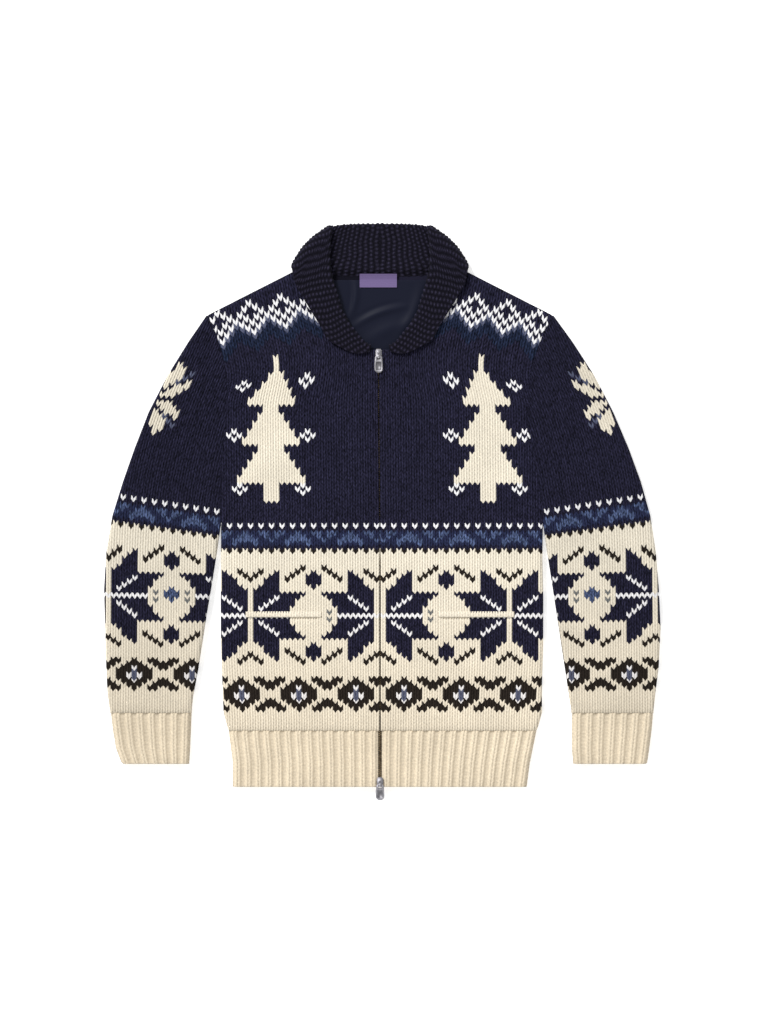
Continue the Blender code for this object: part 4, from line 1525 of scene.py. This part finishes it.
@dataclass
class Sleeve:
    """One sleeve: an upper and a lower wall that meet along the folded edges."""

    side: int
    wardrobe: Wardrobe
    chart: Chart = Chart(wale_shift=10, lozenge_start=-5, wave_start=-4, on_sleeve=True)
    relief: float = 1.3
    cells: int = 2
    wales: tuple[int, int] = (-19, 20)
    rows: tuple[int, int] = (-36, 88)
    flat: tuple[float, float] = (0.37, 0.56)    # opened out, all round
    fullness: float = 0.9
    seam_dip: float = 0.8
    # Painted shade: the whole sleeve is darkened for the shade over its rounded form.
    light: float = 0.88
    shape: SleeveShape = field(init=False)

    def __post_init__(self) -> None:
        """Read the sleeve's edges."""
        self.shape = SleeveShape(self.side)

    def top(self, x: Array, y: Array) -> Array:
        """Upper outside: full over the cuff, creased, rounded at its edges.

        Args:
            x: |x| of each point.
            y: y of each point.

        Returns:
            z of each point, before its stitches.
        """
        full = BODY_HEIGHT + self.fullness * bell(y, -262.0, 14.0)
        full = full - self.seam_dip * bell(y, CUFF_SEAM, SEAM_REACH)
        full = creased(full, SLEEVE_CREASES, x, y)
        return FOLD_LEVEL + self.shape.rise(x, y) * (full - FOLD_LEVEL)

    def bottom(self, x: Array, y: Array) -> Array:
        """Lower outside: flat on the surface, rounded up at its edges."""
        return FOLD_LEVEL * (1.0 - self.shape.rise(x, y))

    def make(self) -> bpy.types.Object:
        """Knit both walls and join them.

        Returns:
            The finished piece.
        """
        upper = StitchField(STOCKING, self.wales, self.rows, self.cells, self.relief)
        lower = StitchField(PLAIN, self.wales, self.rows, 1, 0.0, inside=Yarn.NAVY)
        plan, keep, yarns = self.shape.plan, self.shape.keep, self.chart.yarns
        shell = join_shells([
            upper.build(plan, keep, self.top, upper_inside, yarns, self.side),
            lower.build(plan, keep, self.bottom, lower_inside, yarns, self.side, -1)])
        name = "sleeve_" + side_name(self.side)
        piece = knitted_object(
            name + "_knit", shell, self.wardrobe.wool, 21 + self.side, self.light)
        declare(piece, "pattern_knit", name)
        return piece


@dataclass
class RibBand:
    """A hem or cuff: ribs of knitted wales over purl troughs, plain underneath."""

    name: str
    nodes: tuple[str, ...]
    side: int
    wardrobe: Wardrobe
    ribs: int
    low: float
    high: float
    gap: float
    rests_on: str
    tube: bool = False
    light: float = 0.97
    crest: float = 0.5          # how far below the body's height the ribs' crests lie
    end_dip: float = 0.8
    outline: Outline = field(init=False)
    rows: int = field(init=False)

    def __post_init__(self) -> None:
        """Read the band's edges and count its rows."""
        self.outline = Outline(self.nodes[0])
        self.rows = int(round((self.high - self.low) / ROW_HEIGHT))

    def edges(self, y: Array) -> Pair:
        """|x| of both edges of the band at y.

        Args:
            y: Levels on the band.

        Returns:
            The inner and the outer edge.
        """
        level = np.minimum(y, self.high - SEAM_SLACK)
        inner = self.gap + self.side * zip_line(y)
        if self.tube:
            inner = self.outline.inner(level)
        return inner, self.outline.outer(level)

    def plan(self, u: Array, v: Array) -> Pair:
        """Ribs keep their share of the width from end to end.

        Args:
            u: Ribs from the inner edge.
            v: Rows from the free end.

        Returns:
            |x| and y.
        """
        y = self.low + v / self.rows * (self.high - self.low)
        inner, outer = self.edges(np.clip(y, self.low, self.high))
        return inner + (outer - inner) * u / self.ribs, y

    def keep(self, x: Array, y: Array) -> Moved:
        """Clamp to both ends of the band."""
        return moved(x, y, x, np.clip(y, self.low, self.high))

    def rise(self, x: Array, y: Array) -> Array:
        """How far the cloth has risen from a folded edge; a front edge is square.

        Args:
            x: |x| of each point.
            y: y of each point.

        Returns:
            Share of the half height.
        """
        inner, outer = self.edges(y)
        distance = outer - x
        if self.tube:
            distance = np.minimum(distance, x - inner)
        return fold_rise(np.maximum(distance, 0.0))

    def top(self, x: Array, y: Array) -> Array:
        """Crests of the ribs, a little lower at the free end."""
        full = BODY_HEIGHT - self.crest - self.end_dip * bell(y, self.low, 5.0)
        return FOLD_LEVEL + self.rise(x, y) * (full - FOLD_LEVEL)

    def bottom(self, x: Array, y: Array) -> Array:
        """Flat on the surface, rounded up at a folded edge."""
        return FOLD_LEVEL * (1.0 - self.rise(x, y))

    @staticmethod
    def plain(wale: Array, row: Array) -> Array:
        """The band is one colour."""
        return np.full(wale.shape, int(Yarn.RIB))

    def knit(self, upper: bool) -> Shell:
        """Knit one wall of the band.

        Args:
            upper: Whether it is the ribbed wall that shows.

        Returns:
            The closed wall.
        """
        wales, rows = (0, self.ribs), (-1, self.rows + 1)
        if upper:
            wall = StitchField(RIB, wales, rows, 2, 1.0, inside=Yarn.RIB)
            return wall.build(self.plan, self.keep, self.top, upper_inside, self.plain,
                              self.side)
        wall = StitchField(PLAIN, wales, rows, 1, 0.0, inside=Yarn.RIB)
        return wall.build(self.plan, self.keep, self.bottom, lower_inside, self.plain,
                          self.side, facing=-1)

    def make(self) -> bpy.types.Object:
        """Knit the band's walls and replace its solid."""
        walls = (True, False) if self.tube else (True,)
        return self.place([self.knit(upper) for upper in walls])

    def place(self, shells: list[Shell]) -> bpy.types.Object:
        """Args:
            shells: The walls.

        Returns:
            The finished piece.
        """
        shell = join_shells(shells)
        piece = knitted_object(
            self.name, shell, self.wardrobe.wool, 31 + self.ribs, self.light)
        declare(piece, "rib_knit", *self.nodes)
        return piece


@dataclass
class BackHem(RibBand):
    """The back's hem, both sides in one piece, resting on its outside."""

    def edges(self, y: Array) -> Pair:
        """From the middle of the back to the side."""
        return np.zeros_like(y), self.outline.outer(y)

    def make(self) -> bpy.types.Object:
        """Knit both halves, each to the side edge of its front's hem.

        Returns:
            The finished piece.
        """
        shells = []
        for side in (-1, 1):
            self.side = side
            self.outline = Outline("hem_front_" + side_name(side))
            shells.append(self.knit(False))
        return self.place(shells)


@dataclass(frozen=True)
class CollarRow:
    """One section of the collar: seam, roll and free edge in plan, and its turn."""

    turn: float
    seam_x: float
    seam_y: float
    roll_x: float
    roll_y: float
    edge_x: float
    edge_y: float
    lower: float
    seam_lower: float


COLLAR_ROWS = (
    CollarRow(90, 13.0, 222.6, 12.2, 226.0, 14.0, 217.5, -2.7, 0.0),
    CollarRow(90, 31.4, 224.4, 22.0, 233.6, 34.3, 215.8, -2.7, 0.0),
    CollarRow(90, 50.7, 232.5, 33.0, 246.6, 56.2, 225.4, -2.7, 0.0),
    CollarRow(90, 65.2, 244.4, 43.8, 261.7, 71.9, 235.6, -2.7, 0.0),
    CollarRow(90, 75.1, 259.8, 52.1, 278.1, 82.2, 254.1, -2.7, 0.0),
    CollarRow(90, 86.2, 280.4, 58.9, 301.4, 94.5, 274.0, -2.5, 0.0),
    CollarRow(90, 99.8, 304.4, 66.0, 327.4, 108.6, 297.3, -1.5, 0.0),
    CollarRow(90, 107.0, 318.6, 68.0, 354.0, 116.4, 312.0, 0.0, 0.0),
    CollarRow(90, 110.8, 329.5, 66.0, 380.0, 118.8, 324.0, 0.0, 0.0),
    CollarRow(60, 111.3, 332.2, 63.6, 384.5, 117.0, 328.6, 0.0, 0.0),
    CollarRow(30, 111.3, 332.6, 62.8, 386.0, 115.0, 329.2, 0.0, 0.0),
    CollarRow(0, 111.0, 332.9, 62.5, 386.6, 114.3, 330.4, 0.0, 0.0),
    CollarRow(-30, 110.6, 333.0, 62.3, 387.4, 112.5, 333.0, 0.0, 0.0),
    CollarRow(-60, 109.8, 333.0, 62.0, 388.8, 110.0, 336.0, 0.0, 0.6),
    CollarRow(-90, 102.6, 329.0, 61.0, 391.2, 104.5, 337.6, 0.0, 2.0),
    CollarRow(-90, 79.8, 324.7, 52.0, 392.8, 82.0, 334.9, 0.0, 4.4),
    CollarRow(-90, 45.0, 321.7, 34.0, 393.9, 45.0, 333.2, 0.0, 4.9),
    CollarRow(-90, 20.0, 321.0, 16.0, 394.2, 20.0, 332.7, 0.0, 4.9),
    CollarRow(-90, 0.0, 320.7, 0.0, 394.3, 0.0, 332.6, 0.0, 4.9),
)


@dataclass
class Collar:
    """Shawl collar in garter stitch: its ridges run across it, broken into beads.

    The section is the solid's own: a stand, a half circle of roll and a fall, with the
    outside moved out by the ridges.
    """

    wardrobe: Wardrobe
    thickness: float = 4.2
    level: float = 10.1
    stand_radius: float = 2.6
    roll_radius: float = 5.2
    fall_radius: float = 7.8
    neck_side: tuple[float, float] = (0.77, 0.637)
    bulge: float = 6.0
    stand_climb: float = 0.16
    ridge_pitch: float = 7.5
    bump_pitch: float = 5.6
    ridge: float = 1.7
    sink: float = 0.6
    shear: float = 0.38
    sections: int = 560
    trials: int = 400
    stand_points: int = 56
    roll_points: int = 14
    fall_points: int = 58
    inner_points: int = 14
    flat: tuple[float, float] = (0.62, 0.155)
    area: float = 0.075

    def table(self, at: Array) -> dict[str, Array]:
        """Read every column of the table at the given row numbers.

        Args:
            at: Row numbers, whole or between.

        Returns:
            The values of each column.
        """
        knots = np.arange(len(COLLAR_ROWS), dtype=float)
        columns = {}
        for name in CollarRow.__dataclass_fields__:
            values = np.array([getattr(row, name) for row in COLLAR_ROWS])
            if name.startswith(("roll", "edge")):
                columns[name] = self.curve(knots, values, at)
            else:
                columns[name] = np.interp(at, knots, values)
        return columns

    @staticmethod
    def curve(knots: Array, values: Array, at: Array) -> Array:
        """Smooth curve through the values: a cubic on each stretch.

        Args:
            knots: Where the values lie.
            values: The values.
            at: Where the curve is read.

        Returns:
            The curve's values.
        """
        slopes = np.gradient(values, knots)
        index = np.clip(np.searchsorted(knots, at) - 1, 0, len(knots) - 2)
        width = knots[index + 1] - knots[index]
        t = (at - knots[index]) / width
        start = (1 + 2 * t) * (1 - t) ** 2 * values[index]
        start += t * (1 - t) ** 2 * width * slopes[index]
        end = t * t * (3 - 2 * t) * values[index + 1]
        end += t * t * (t - 1) * width * slopes[index + 1]
        return start + end

    def paths(self, at: Array, side: Array) -> Pair:
        """Middle line of the cloth and its outward direction in each section.

        The stand is a straight line from the seam that climbs first, the roll a half
        circle between the two layers, and the fall a line that puffs out by half a
        sine wave at the side of the neck.

        Args:
            at: Row number of each section.
            side: +1 or -1 for each section.

        Returns:
            Two arrays of sections by points by 3.
        """
        row = self.table(at)
        turn = np.radians(row["turn"])
        zero = np.zeros_like(at)
        stack = np.stack([side * self.neck_side[0] * np.cos(turn),
                          self.neck_side[1] * np.cos(turn), np.sin(turn)], axis=1)
        height = self.level + row["lower"]
        seam, roll, edge = (
            np.stack([side * row[name + "_x"], row[name + "_y"], height], axis=1)
            for name in ("seam", "roll", "edge"))
        ahead = roll - edge
        ahead /= np.linalg.norm(ahead, axis=1, keepdims=True)
        drop = np.stack([zero, zero, row["seam_lower"]], axis=1)
        seam = seam + self.stand_radius * stack - drop
        roll_in = roll + self.stand_radius * stack
        roll_out = roll + self.fall_radius * stack
        edge = edge + self.fall_radius * stack
        span = np.linalg.norm((roll_out - edge)[:, :2], axis=1)
        back = np.minimum(self.roll_radius - self.stand_radius + self.thickness / 2,
                          0.35 * span)[:, None]
        roll_in, roll_out = roll_in - back * ahead, roll_out - back * ahead
        share = np.linspace(0.0, 1.0, self.stand_points, endpoint=False)[None, :, None]
        stand = seam[:, None, :] + share * (roll_in - seam)[:, None, :]
        climb = ease(share[:, :, 0] / self.stand_climb)
        stand[:, :, 2] = seam[:, None, 2] + climb * (roll_in - seam)[:, None, 2]
        centre, radius = (roll_in + roll_out) / 2, (roll_out - roll_in) / 2
        reach = np.linalg.norm(radius, axis=1)[:, None, None]
        swing = np.linspace(0.0, np.pi, self.roll_points)[None, :, None]
        swung = reach * ahead[:, None, :] * np.sin(swing) - radius[:, None, :] * np.cos(swing)
        share = np.linspace(0.0, 1.0, self.fall_points + 1)[None, 1:, None]
        fall = roll_out[:, None, :] + share * (edge - roll_out)[:, None, :]
        puff = self.bulge * (np.cos(turn) ** 2)[:, None, None] * np.sin(np.pi * share)
        fall = fall + stack[:, None, :] * puff
        outward = np.concatenate([
            np.repeat(-stack[:, None, :], self.stand_points, axis=1), swung / reach,
            np.repeat(stack[:, None, :], self.fall_points, axis=1)], axis=1)
        return np.concatenate([stand, centre[:, None, :] + swung, fall], axis=1), outward

    def spacing(self) -> tuple[Array, Array, Array]:
        """Space the sections evenly along the fall, from one point over to the other.

        Returns:
            Row number, side and distance from the nearer point of each section.
        """
        trial = np.linspace(0.0, len(COLLAR_ROWS) - 1.0, self.trials)
        coarse, _ = self.paths(trial, np.ones_like(trial))
        middle = coarse[:, self.stand_points + self.roll_points + self.fall_points // 2]
        step = np.linalg.norm(np.diff(middle, axis=0), axis=1)
        walked = np.concatenate([[0.0], np.cumsum(step)])
        count = self.sections // 2
        half = np.interp(np.linspace(0.0, walked[-1], count), walked, trial)
        travel = walked[-1] * np.linspace(0.0, 1.0, count)
        side = np.concatenate([-np.ones(count), np.ones(count - 1)])
        return (np.concatenate([half, half[-2::-1]]), side,
                np.concatenate([travel, travel[-2::-1]]))

    def beads(self, centre: Array, travel: Array) -> Array:
        """How far the garter ridges stand out, from 0 to 1.

        A ridge is a raised cosine of the distance along the collar, sheared down the
        fall, and two slow waves let it drift. Along each ridge a cosine of the distance
        across makes the beads, half a bead apart from one ridge to the next.

        Args:
            centre: Middle line of each section.
            travel: Distance of each section along the collar.

        Returns:
            The share of the ridge's height at each point.
        """
        along = np.linalg.norm(np.diff(centre, axis=1), axis=2)
        along = np.concatenate(
            [np.zeros((len(centre), 1)), np.cumsum(along, axis=1)], axis=1)
        travel = travel[:, None]
        crown = along[:, [self.stand_points + self.roll_points // 2]]
        fall = np.maximum(along - crown, 0.0)
        drift = 0.9 * np.sin(along / 9.0 + travel / 31.0)
        drift = drift + 0.5 * np.sin(along / 4.3 - travel / 17.0)
        phase = (travel - self.shear * fall + drift) / self.ridge_pitch
        ridge = np.floor(phase)
        shift = np.pi * (ridge % 2) + 0.8 * np.sin(ridge * 12.9898)
        wave = 0.5 - 0.5 * np.cos(2 * np.pi * phase)
        across = 2 * np.pi * (along + 0.6 * drift) / self.bump_pitch
        return wave * (0.14 + 0.86 * (0.5 + 0.5 * np.cos(across + shift)))

    @staticmethod
    def loft(sections: int, count: int) -> Faces:
        """Join closed rings of points into a tube and close both its ends.

        Args:
            sections: Number of rings.
            count: Points in each ring.

        Returns:
            Point indices of each face.
        """
        index = np.arange(sections * count).reshape(sections, count)
        following = np.roll(index, -1, axis=1)
        faces = np.stack([index[:-1], index[1:], following[1:], following[:-1]], axis=-1)
        ends = [index[0].tolist(), index[-1][::-1].tolist()]
        return faces.reshape(-1, 4).tolist() + ends

    def make(self) -> bpy.types.Object:
        """Loft the sections, raise the ridges and close the ends.

        Returns:
            The finished piece.
        """
        at, side, travel = self.spacing()
        centre, outward = self.paths(at, side)
        bump = self.beads(centre, travel)
        lift = self.thickness / 2 + (self.ridge * bump - self.sink)
        outside = centre + lift[:, :, None] * outward
        outside[:, :, 2] = np.maximum(outside[:, :, 2], 0.0)
        picks = np.linspace(centre.shape[1] - 1, 0, self.inner_points).round().astype(int)
        inside = centre[:, picks] - self.thickness / 2 * outward[:, picks]
        ring = np.concatenate([outside, inside], axis=1)
        # Painted highlight on the beads, painted shade between them and on the inside.
        shades = np.concatenate([0.66 + 0.82 * bump, np.full(inside.shape[:2], 0.8)], axis=1)
        faces = self.loft(*ring.shape[:2])
        shell = Shell(ring.reshape(-1, 3), shades.reshape(-1), faces,
                      np.full(len(faces), int(Yarn.COLLAR)), 0.0)
        piece = knitted_object("collar_garter", shell, self.wardrobe.wool, 51)
        declare(piece, "collar_knit", "collar")
        return piece


@dataclass
class Lining:
    """Satin neck lining: a thin sheet with loose diagonal folds."""

    wardrobe: Wardrobe
    thickness: float = 0.9
    columns: int = 110
    rows: int = 84
    flat: tuple[float, float] = (0.152, 0.1125)
    folds: tuple[Crease, ...] = (
        Crease(-42.0, 316.0, -43.0, 268.0, 3.2, -0.6),
        Crease(-33.0, 314.0, -40.0, 268.0, 4.5, 2.2),
        Crease(-38.0, 262.0, 26.0, 287.0, 3.0, -0.6),
        Crease(-34.0, 254.0, 34.0, 280.0, 4.5, 2.0),
        Crease(-20.0, 232.0, 44.0, 258.0, 9.0, 1.6),
        Crease(56.0, 306.0, 26.0, 240.0, 7.0, 1.8),
        Crease(-62.0, 302.0, -52.0, 262.0, 6.0, 1.4),
    )

    def make(self) -> bpy.types.Object:
        """Lay the sheet over the inside of the back: its base plus every fold's bell.

        Returns:
            The finished piece.
        """
        low, high = (Vector(corner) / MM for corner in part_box("neck_lining"))
        x, y = np.meshgrid(np.linspace(low.x, high.x, self.columns),
                           np.linspace(low.y, high.y, self.rows))
        z = creased(np.full(x.shape, low.z + self.thickness), self.folds, x, y)
        sheets = [np.stack([x, y, level], -1).reshape(-1, 3)
                  for level in (z, np.full(x.shape, low.z))]
        quads = grid_quads(self.rows, self.columns)
        below = self.rows * self.columns
        faces = quads.tolist() + (quads[:, ::-1] + below).tolist()
        for loop, _ in boundary_loops(quads):
            faces += [[b, a, a + below, b + below]
                      for a, b in zip(loop, loop[1:] + loop[:1])]
        piece = mesh_object(
            "neck_lining_satin", np.concatenate(sheets), faces, self.wardrobe.satin)
        declare(piece, "lining_satin", "neck_lining")
        return piece


@dataclass
class ZipChain:
    """Metal teeth in the gap between the fronts, in two rows that mesh."""

    wardrobe: Wardrobe
    pitch: float = 2.6
    tooth: tuple[float, float, float] = (2.9, 1.25, 2.2)
    taper: float = 0.8
    reach: float = 1.0
    start: float = 3.0
    under_slider: float = 14.0
    level: float = 8.9
    level_hem: float = 9.6
    shut_drop: float = 1.5

    def row(self, side: int, count: int) -> Array:
        """Middle of each tooth on one tape; the two tapes are half a pitch apart.

        Args:
            side: +1 or -1, the tape.
            count: Number of teeth.

        Returns:
            A row for each tooth.
        """
        steps = np.arange(count) + (0.5 if side > 0 else 0.0)
        y = HEM_END + self.start + steps * self.pitch
        z = np.where(y < HEM_SEAM, self.level_hem, self.level - self.shut_drop * zip_shut(y))
        return np.stack([zip_line(y) + side * self.reach, y, z], -1)

    def make(self) -> bpy.types.Object:
        """Place one small tapered tooth after another up both tapes.

        Returns:
            The finished piece.
        """
        count = int((ZIP_TOP - self.under_slider - HEM_END) / self.pitch)
        corner = np.array([[sx, sy, sz] for sz in (-1, 1) for sx, sy in
                           ((-1, -1), (1, -1), (1, 1), (-1, 1))], dtype=float)
        scale = corner * np.array(self.tooth) / 2
        scale = np.where(corner[:, 2:3] > 0,
                         scale * np.array([self.taper, self.taper, 1.0]), scale)
        place = np.concatenate([self.row(side, count) for side in (-1, 1)])
        points = (place[:, None, :] + scale[None]).reshape(-1, 3)
        box_faces = np.array([[3, 2, 1, 0], [4, 5, 6, 7], [0, 1, 5, 4], [1, 2, 6, 5],
                              [2, 3, 7, 6], [3, 0, 4, 7]])
        faces = (box_faces[None] + 8 * np.arange(len(place))[:, None, None]).reshape(-1, 4)
        piece = mesh_object("zip_teeth", points, faces.tolist(), self.wardrobe.teeth,
                            smooth=False)
        declare(piece, "zip_metal")
        return piece


@dataclass
class CastMetal:
    """A slider or pull with its cast edges rounded off."""

    node: str
    body: str
    finish: bpy.types.Material
    round_mm: float = 0.22
    flat_angle: float = 2.0
    sharp_angle: float = 28.0
    reach: float = 14.0                            # how far one face is set against others
    hollow_depth: tuple[float, float] = (0.12, 1.0)
    alike: float = 0.995                           # cosine between faces that are parallel
    upward: float = 0.7

    def cast(self) -> bpy.types.Mesh:
        """Merge the solid's triangles and bevel its sharp edges.

        Returns:
            The new mesh.
        """
        shape = bmesh.new()
        shape.from_mesh(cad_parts[self.node].data)
        bmesh.ops.remove_doubles(shape, verts=shape.verts, dist=1e-6)
        bmesh.ops.dissolve_limit(shape, angle_limit=math.radians(self.flat_angle),
                                 verts=shape.verts, edges=shape.edges)
        sharp = [edge for edge in shape.edges if len(edge.link_faces) == 2
                 and edge.calc_face_angle() > math.radians(self.sharp_angle)]
        bmesh.ops.bevel(shape, geom=sharp, offset=self.round_mm * MM, segments=2,
                        affect="EDGES", clamp_overlap=True)
        mesh = bpy.data.meshes.new(self.node + "_cast")
        shape.to_mesh(mesh)
        shape.free()
        return mesh

    def tarnish(self, mesh: bpy.types.Mesh) -> None:
        """Mark the faces that lie a little lower than others facing the same way.

        Args:
            mesh: The cast mesh, painted in place.
        """
        normal = read_mesh(mesh.polygons, "normal", 3)
        centre = read_mesh(mesh.polygons, "center", 3) / MM
        offset = centre @ normal.T
        near = np.hypot(centre[:, None, 0] - centre[None, :, 0],
                        centre[:, None, 1] - centre[None, :, 1]) < self.reach
        alike = (normal @ normal.T > self.alike) & near
        highest = np.where(alike, offset, -np.inf).max(axis=0)
        depth = highest - np.diagonal(offset)
        least, most = self.hollow_depth
        low = (depth > least) & (depth < most) & (normal[:, 2] > self.upward)
        totals = read_mesh(mesh.polygons, "loop_total", kind=int)
        value = np.repeat(low.astype(float), totals)
        paint_corners(mesh, "tarnish", np.column_stack([value, value, value]))

    def make(self) -> bpy.types.Object:
        """Bevel a copy of the solid's mesh and replace it.

        Returns:
            The finished piece.
        """
        mesh = self.cast()
        self.tarnish(mesh)
        mesh.shade_smooth()
        piece = add_object(self.node + "_cast", mesh, self.finish)
        declare(piece, "zip_metal", self.node, body=self.body)
        return piece


@dataclass
class Studio:
    """Pale floor, soft light and the photo's straight-down camera."""

    photo_scale: float = 1.37
    photo_height: float = 1024.0
    photo_middle: tuple[float, float] = (4.0, -1.0)
    distance: float = 6.0
    sensor: float = 36.0
    floor_half: float = 12000.0
    floor_level: float = -0.3
    sun_place: tuple[float, float, float] = (-1.4, 1.7, 1.9)
    sun_strength: float = 2.6
    sun_spread: float = 14.0
    sky_strength: float = 0.6

    def floor(self) -> None:
        """Lay matt white paper under the garment, bright enough to print as white."""
        half, level = self.floor_half, self.floor_level
        points = np.array([[x, y, level] for x, y in
                           ((-half, -half), (half, -half), (half, half), (-half, half))])
        nodes = Nodes("studio_paper")
        nodes.set(Base_Color=linear("#F7F7F7"), Roughness=0.9, Specular_IOR_Level=0.1,
                  Emission_Color=linear("#FFFFFF"), Emission_Strength=0.5)
        mesh_object("studio_floor", points, [[0, 1, 2, 3]], nodes.material)

    def sun(self) -> None:
        """Hang the far soft light that shines down on the garment."""
        data = bpy.data.lights.new("key", "SUN")
        data.energy = self.sun_strength
        data.angle = math.radians(self.sun_spread)
        lamp = bpy.data.objects.new("key", data)
        bpy.context.scene.collection.objects.link(lamp)
        lamp.location = self.sun_place
        lamp.rotation_euler = (-Vector(self.sun_place)).to_track_quat("-Z", "Y").to_euler()

    def sky(self) -> None:
        """Fill the shadows with even white light."""
        world = bpy.data.worlds.new("studio_sky")
        world.use_nodes = True
        background = world.node_tree.nodes["Background"].inputs
        background["Color"].default_value = (1, 1, 1, 1)
        background["Strength"].default_value = self.sky_strength
        bpy.context.scene.world = world

    def camera(self) -> None:
        """Hang a long lens straight above the middle of the photo's frame."""
        data = bpy.data.cameras.new("photo_camera")
        data.sensor_fit = "VERTICAL"
        data.sensor_height = self.sensor
        view = self.photo_height * self.photo_scale * MM
        data.lens = self.sensor * self.distance / view
        data.clip_end = 100.0
        camera = bpy.data.objects.new("photo_camera", data)
        bpy.context.scene.collection.objects.link(camera)
        x, y = (value * self.photo_scale * MM for value in self.photo_middle)
        camera.location = (x, y, self.distance + 0.01)
        bpy.context.scene.camera = camera

    def make(self) -> None:
        """Set the whole studio."""
        self.floor()
        self.sun()
        self.sky()
        bpy.context.scene.view_settings.view_transform = "Standard"
        self.camera()


def dress_node(name: str, finish: bpy.types.Material) -> None:
    """Give a kept CAD node its finish.

    Args:
        name: Name of the node.
        finish: Its material.
    """
    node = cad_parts[name]
    node.data.materials.clear()
    node.data.materials.append(finish)


def dress_side(side: int, wardrobe: Wardrobe) -> None:
    """Build the pieces of one side and report each.

    Args:
        side: +1 or -1.
        wardrobe: The finishes.
    """
    word = side_name(side)
    LOG.info("front: %s", Front(side, wardrobe).make().name)
    LOG.info("sleeve: %s", Sleeve(side, wardrobe).make().name)
    LOG.info("hem: %s", RibBand(
        "hem_front_%s_rib" % word, ("hem_front_" + word,), side, wardrobe, 14, HEM_END,
        HEM_SEAM, ZIP_GAP_HEM, "hem_back_rib").make().name)
    LOG.info("cuff: %s", RibBand(
        "cuff_%s_rib" % word, ("cuff_" + word,), side, wardrobe, 7, CUFF_END, CUFF_SEAM,
        0.0, "studio_floor", tube=True, light=0.93).make().name)
    dress_node("zip_tape_" + word, wardrobe.tape)
    LOG.info("welt: %s", Welt(side, wardrobe).make().name)


def main() -> None:
    """Build the cardigan piece by piece and report each one."""
    logging.basicConfig(level=logging.INFO, format="%(message)s")
    wardrobe = Wardrobe()
    Studio().make()
    LOG.info("back: %s", Back(wardrobe).make().name)
    for side in (-1, 1):
        dress_side(side, wardrobe)
    LOG.info("hem: %s", BackHem(
        "hem_back_rib", ("hem_back",), 1, wardrobe, 14, HEM_END, HEM_SEAM, 0.0,
        "studio_floor").make().name)
    LOG.info("collar: %s", Collar(wardrobe).make().name)
    LOG.info("lining: %s", Lining(wardrobe).make().name)
    LOG.info("zip: %s", ZipChain(wardrobe).make().name)
    dress_node("label", wardrobe.label)
    for node, body in (("slider_top", "garment"), ("slider_bottom", "garment"),
                       ("pull_top", "top_pull"), ("pull_bottom", "bottom_pull")):
        LOG.info("metal: %s", CastMetal(node, body, wardrobe.nickel).make().name)


if __name__ == "__main__":
    main()
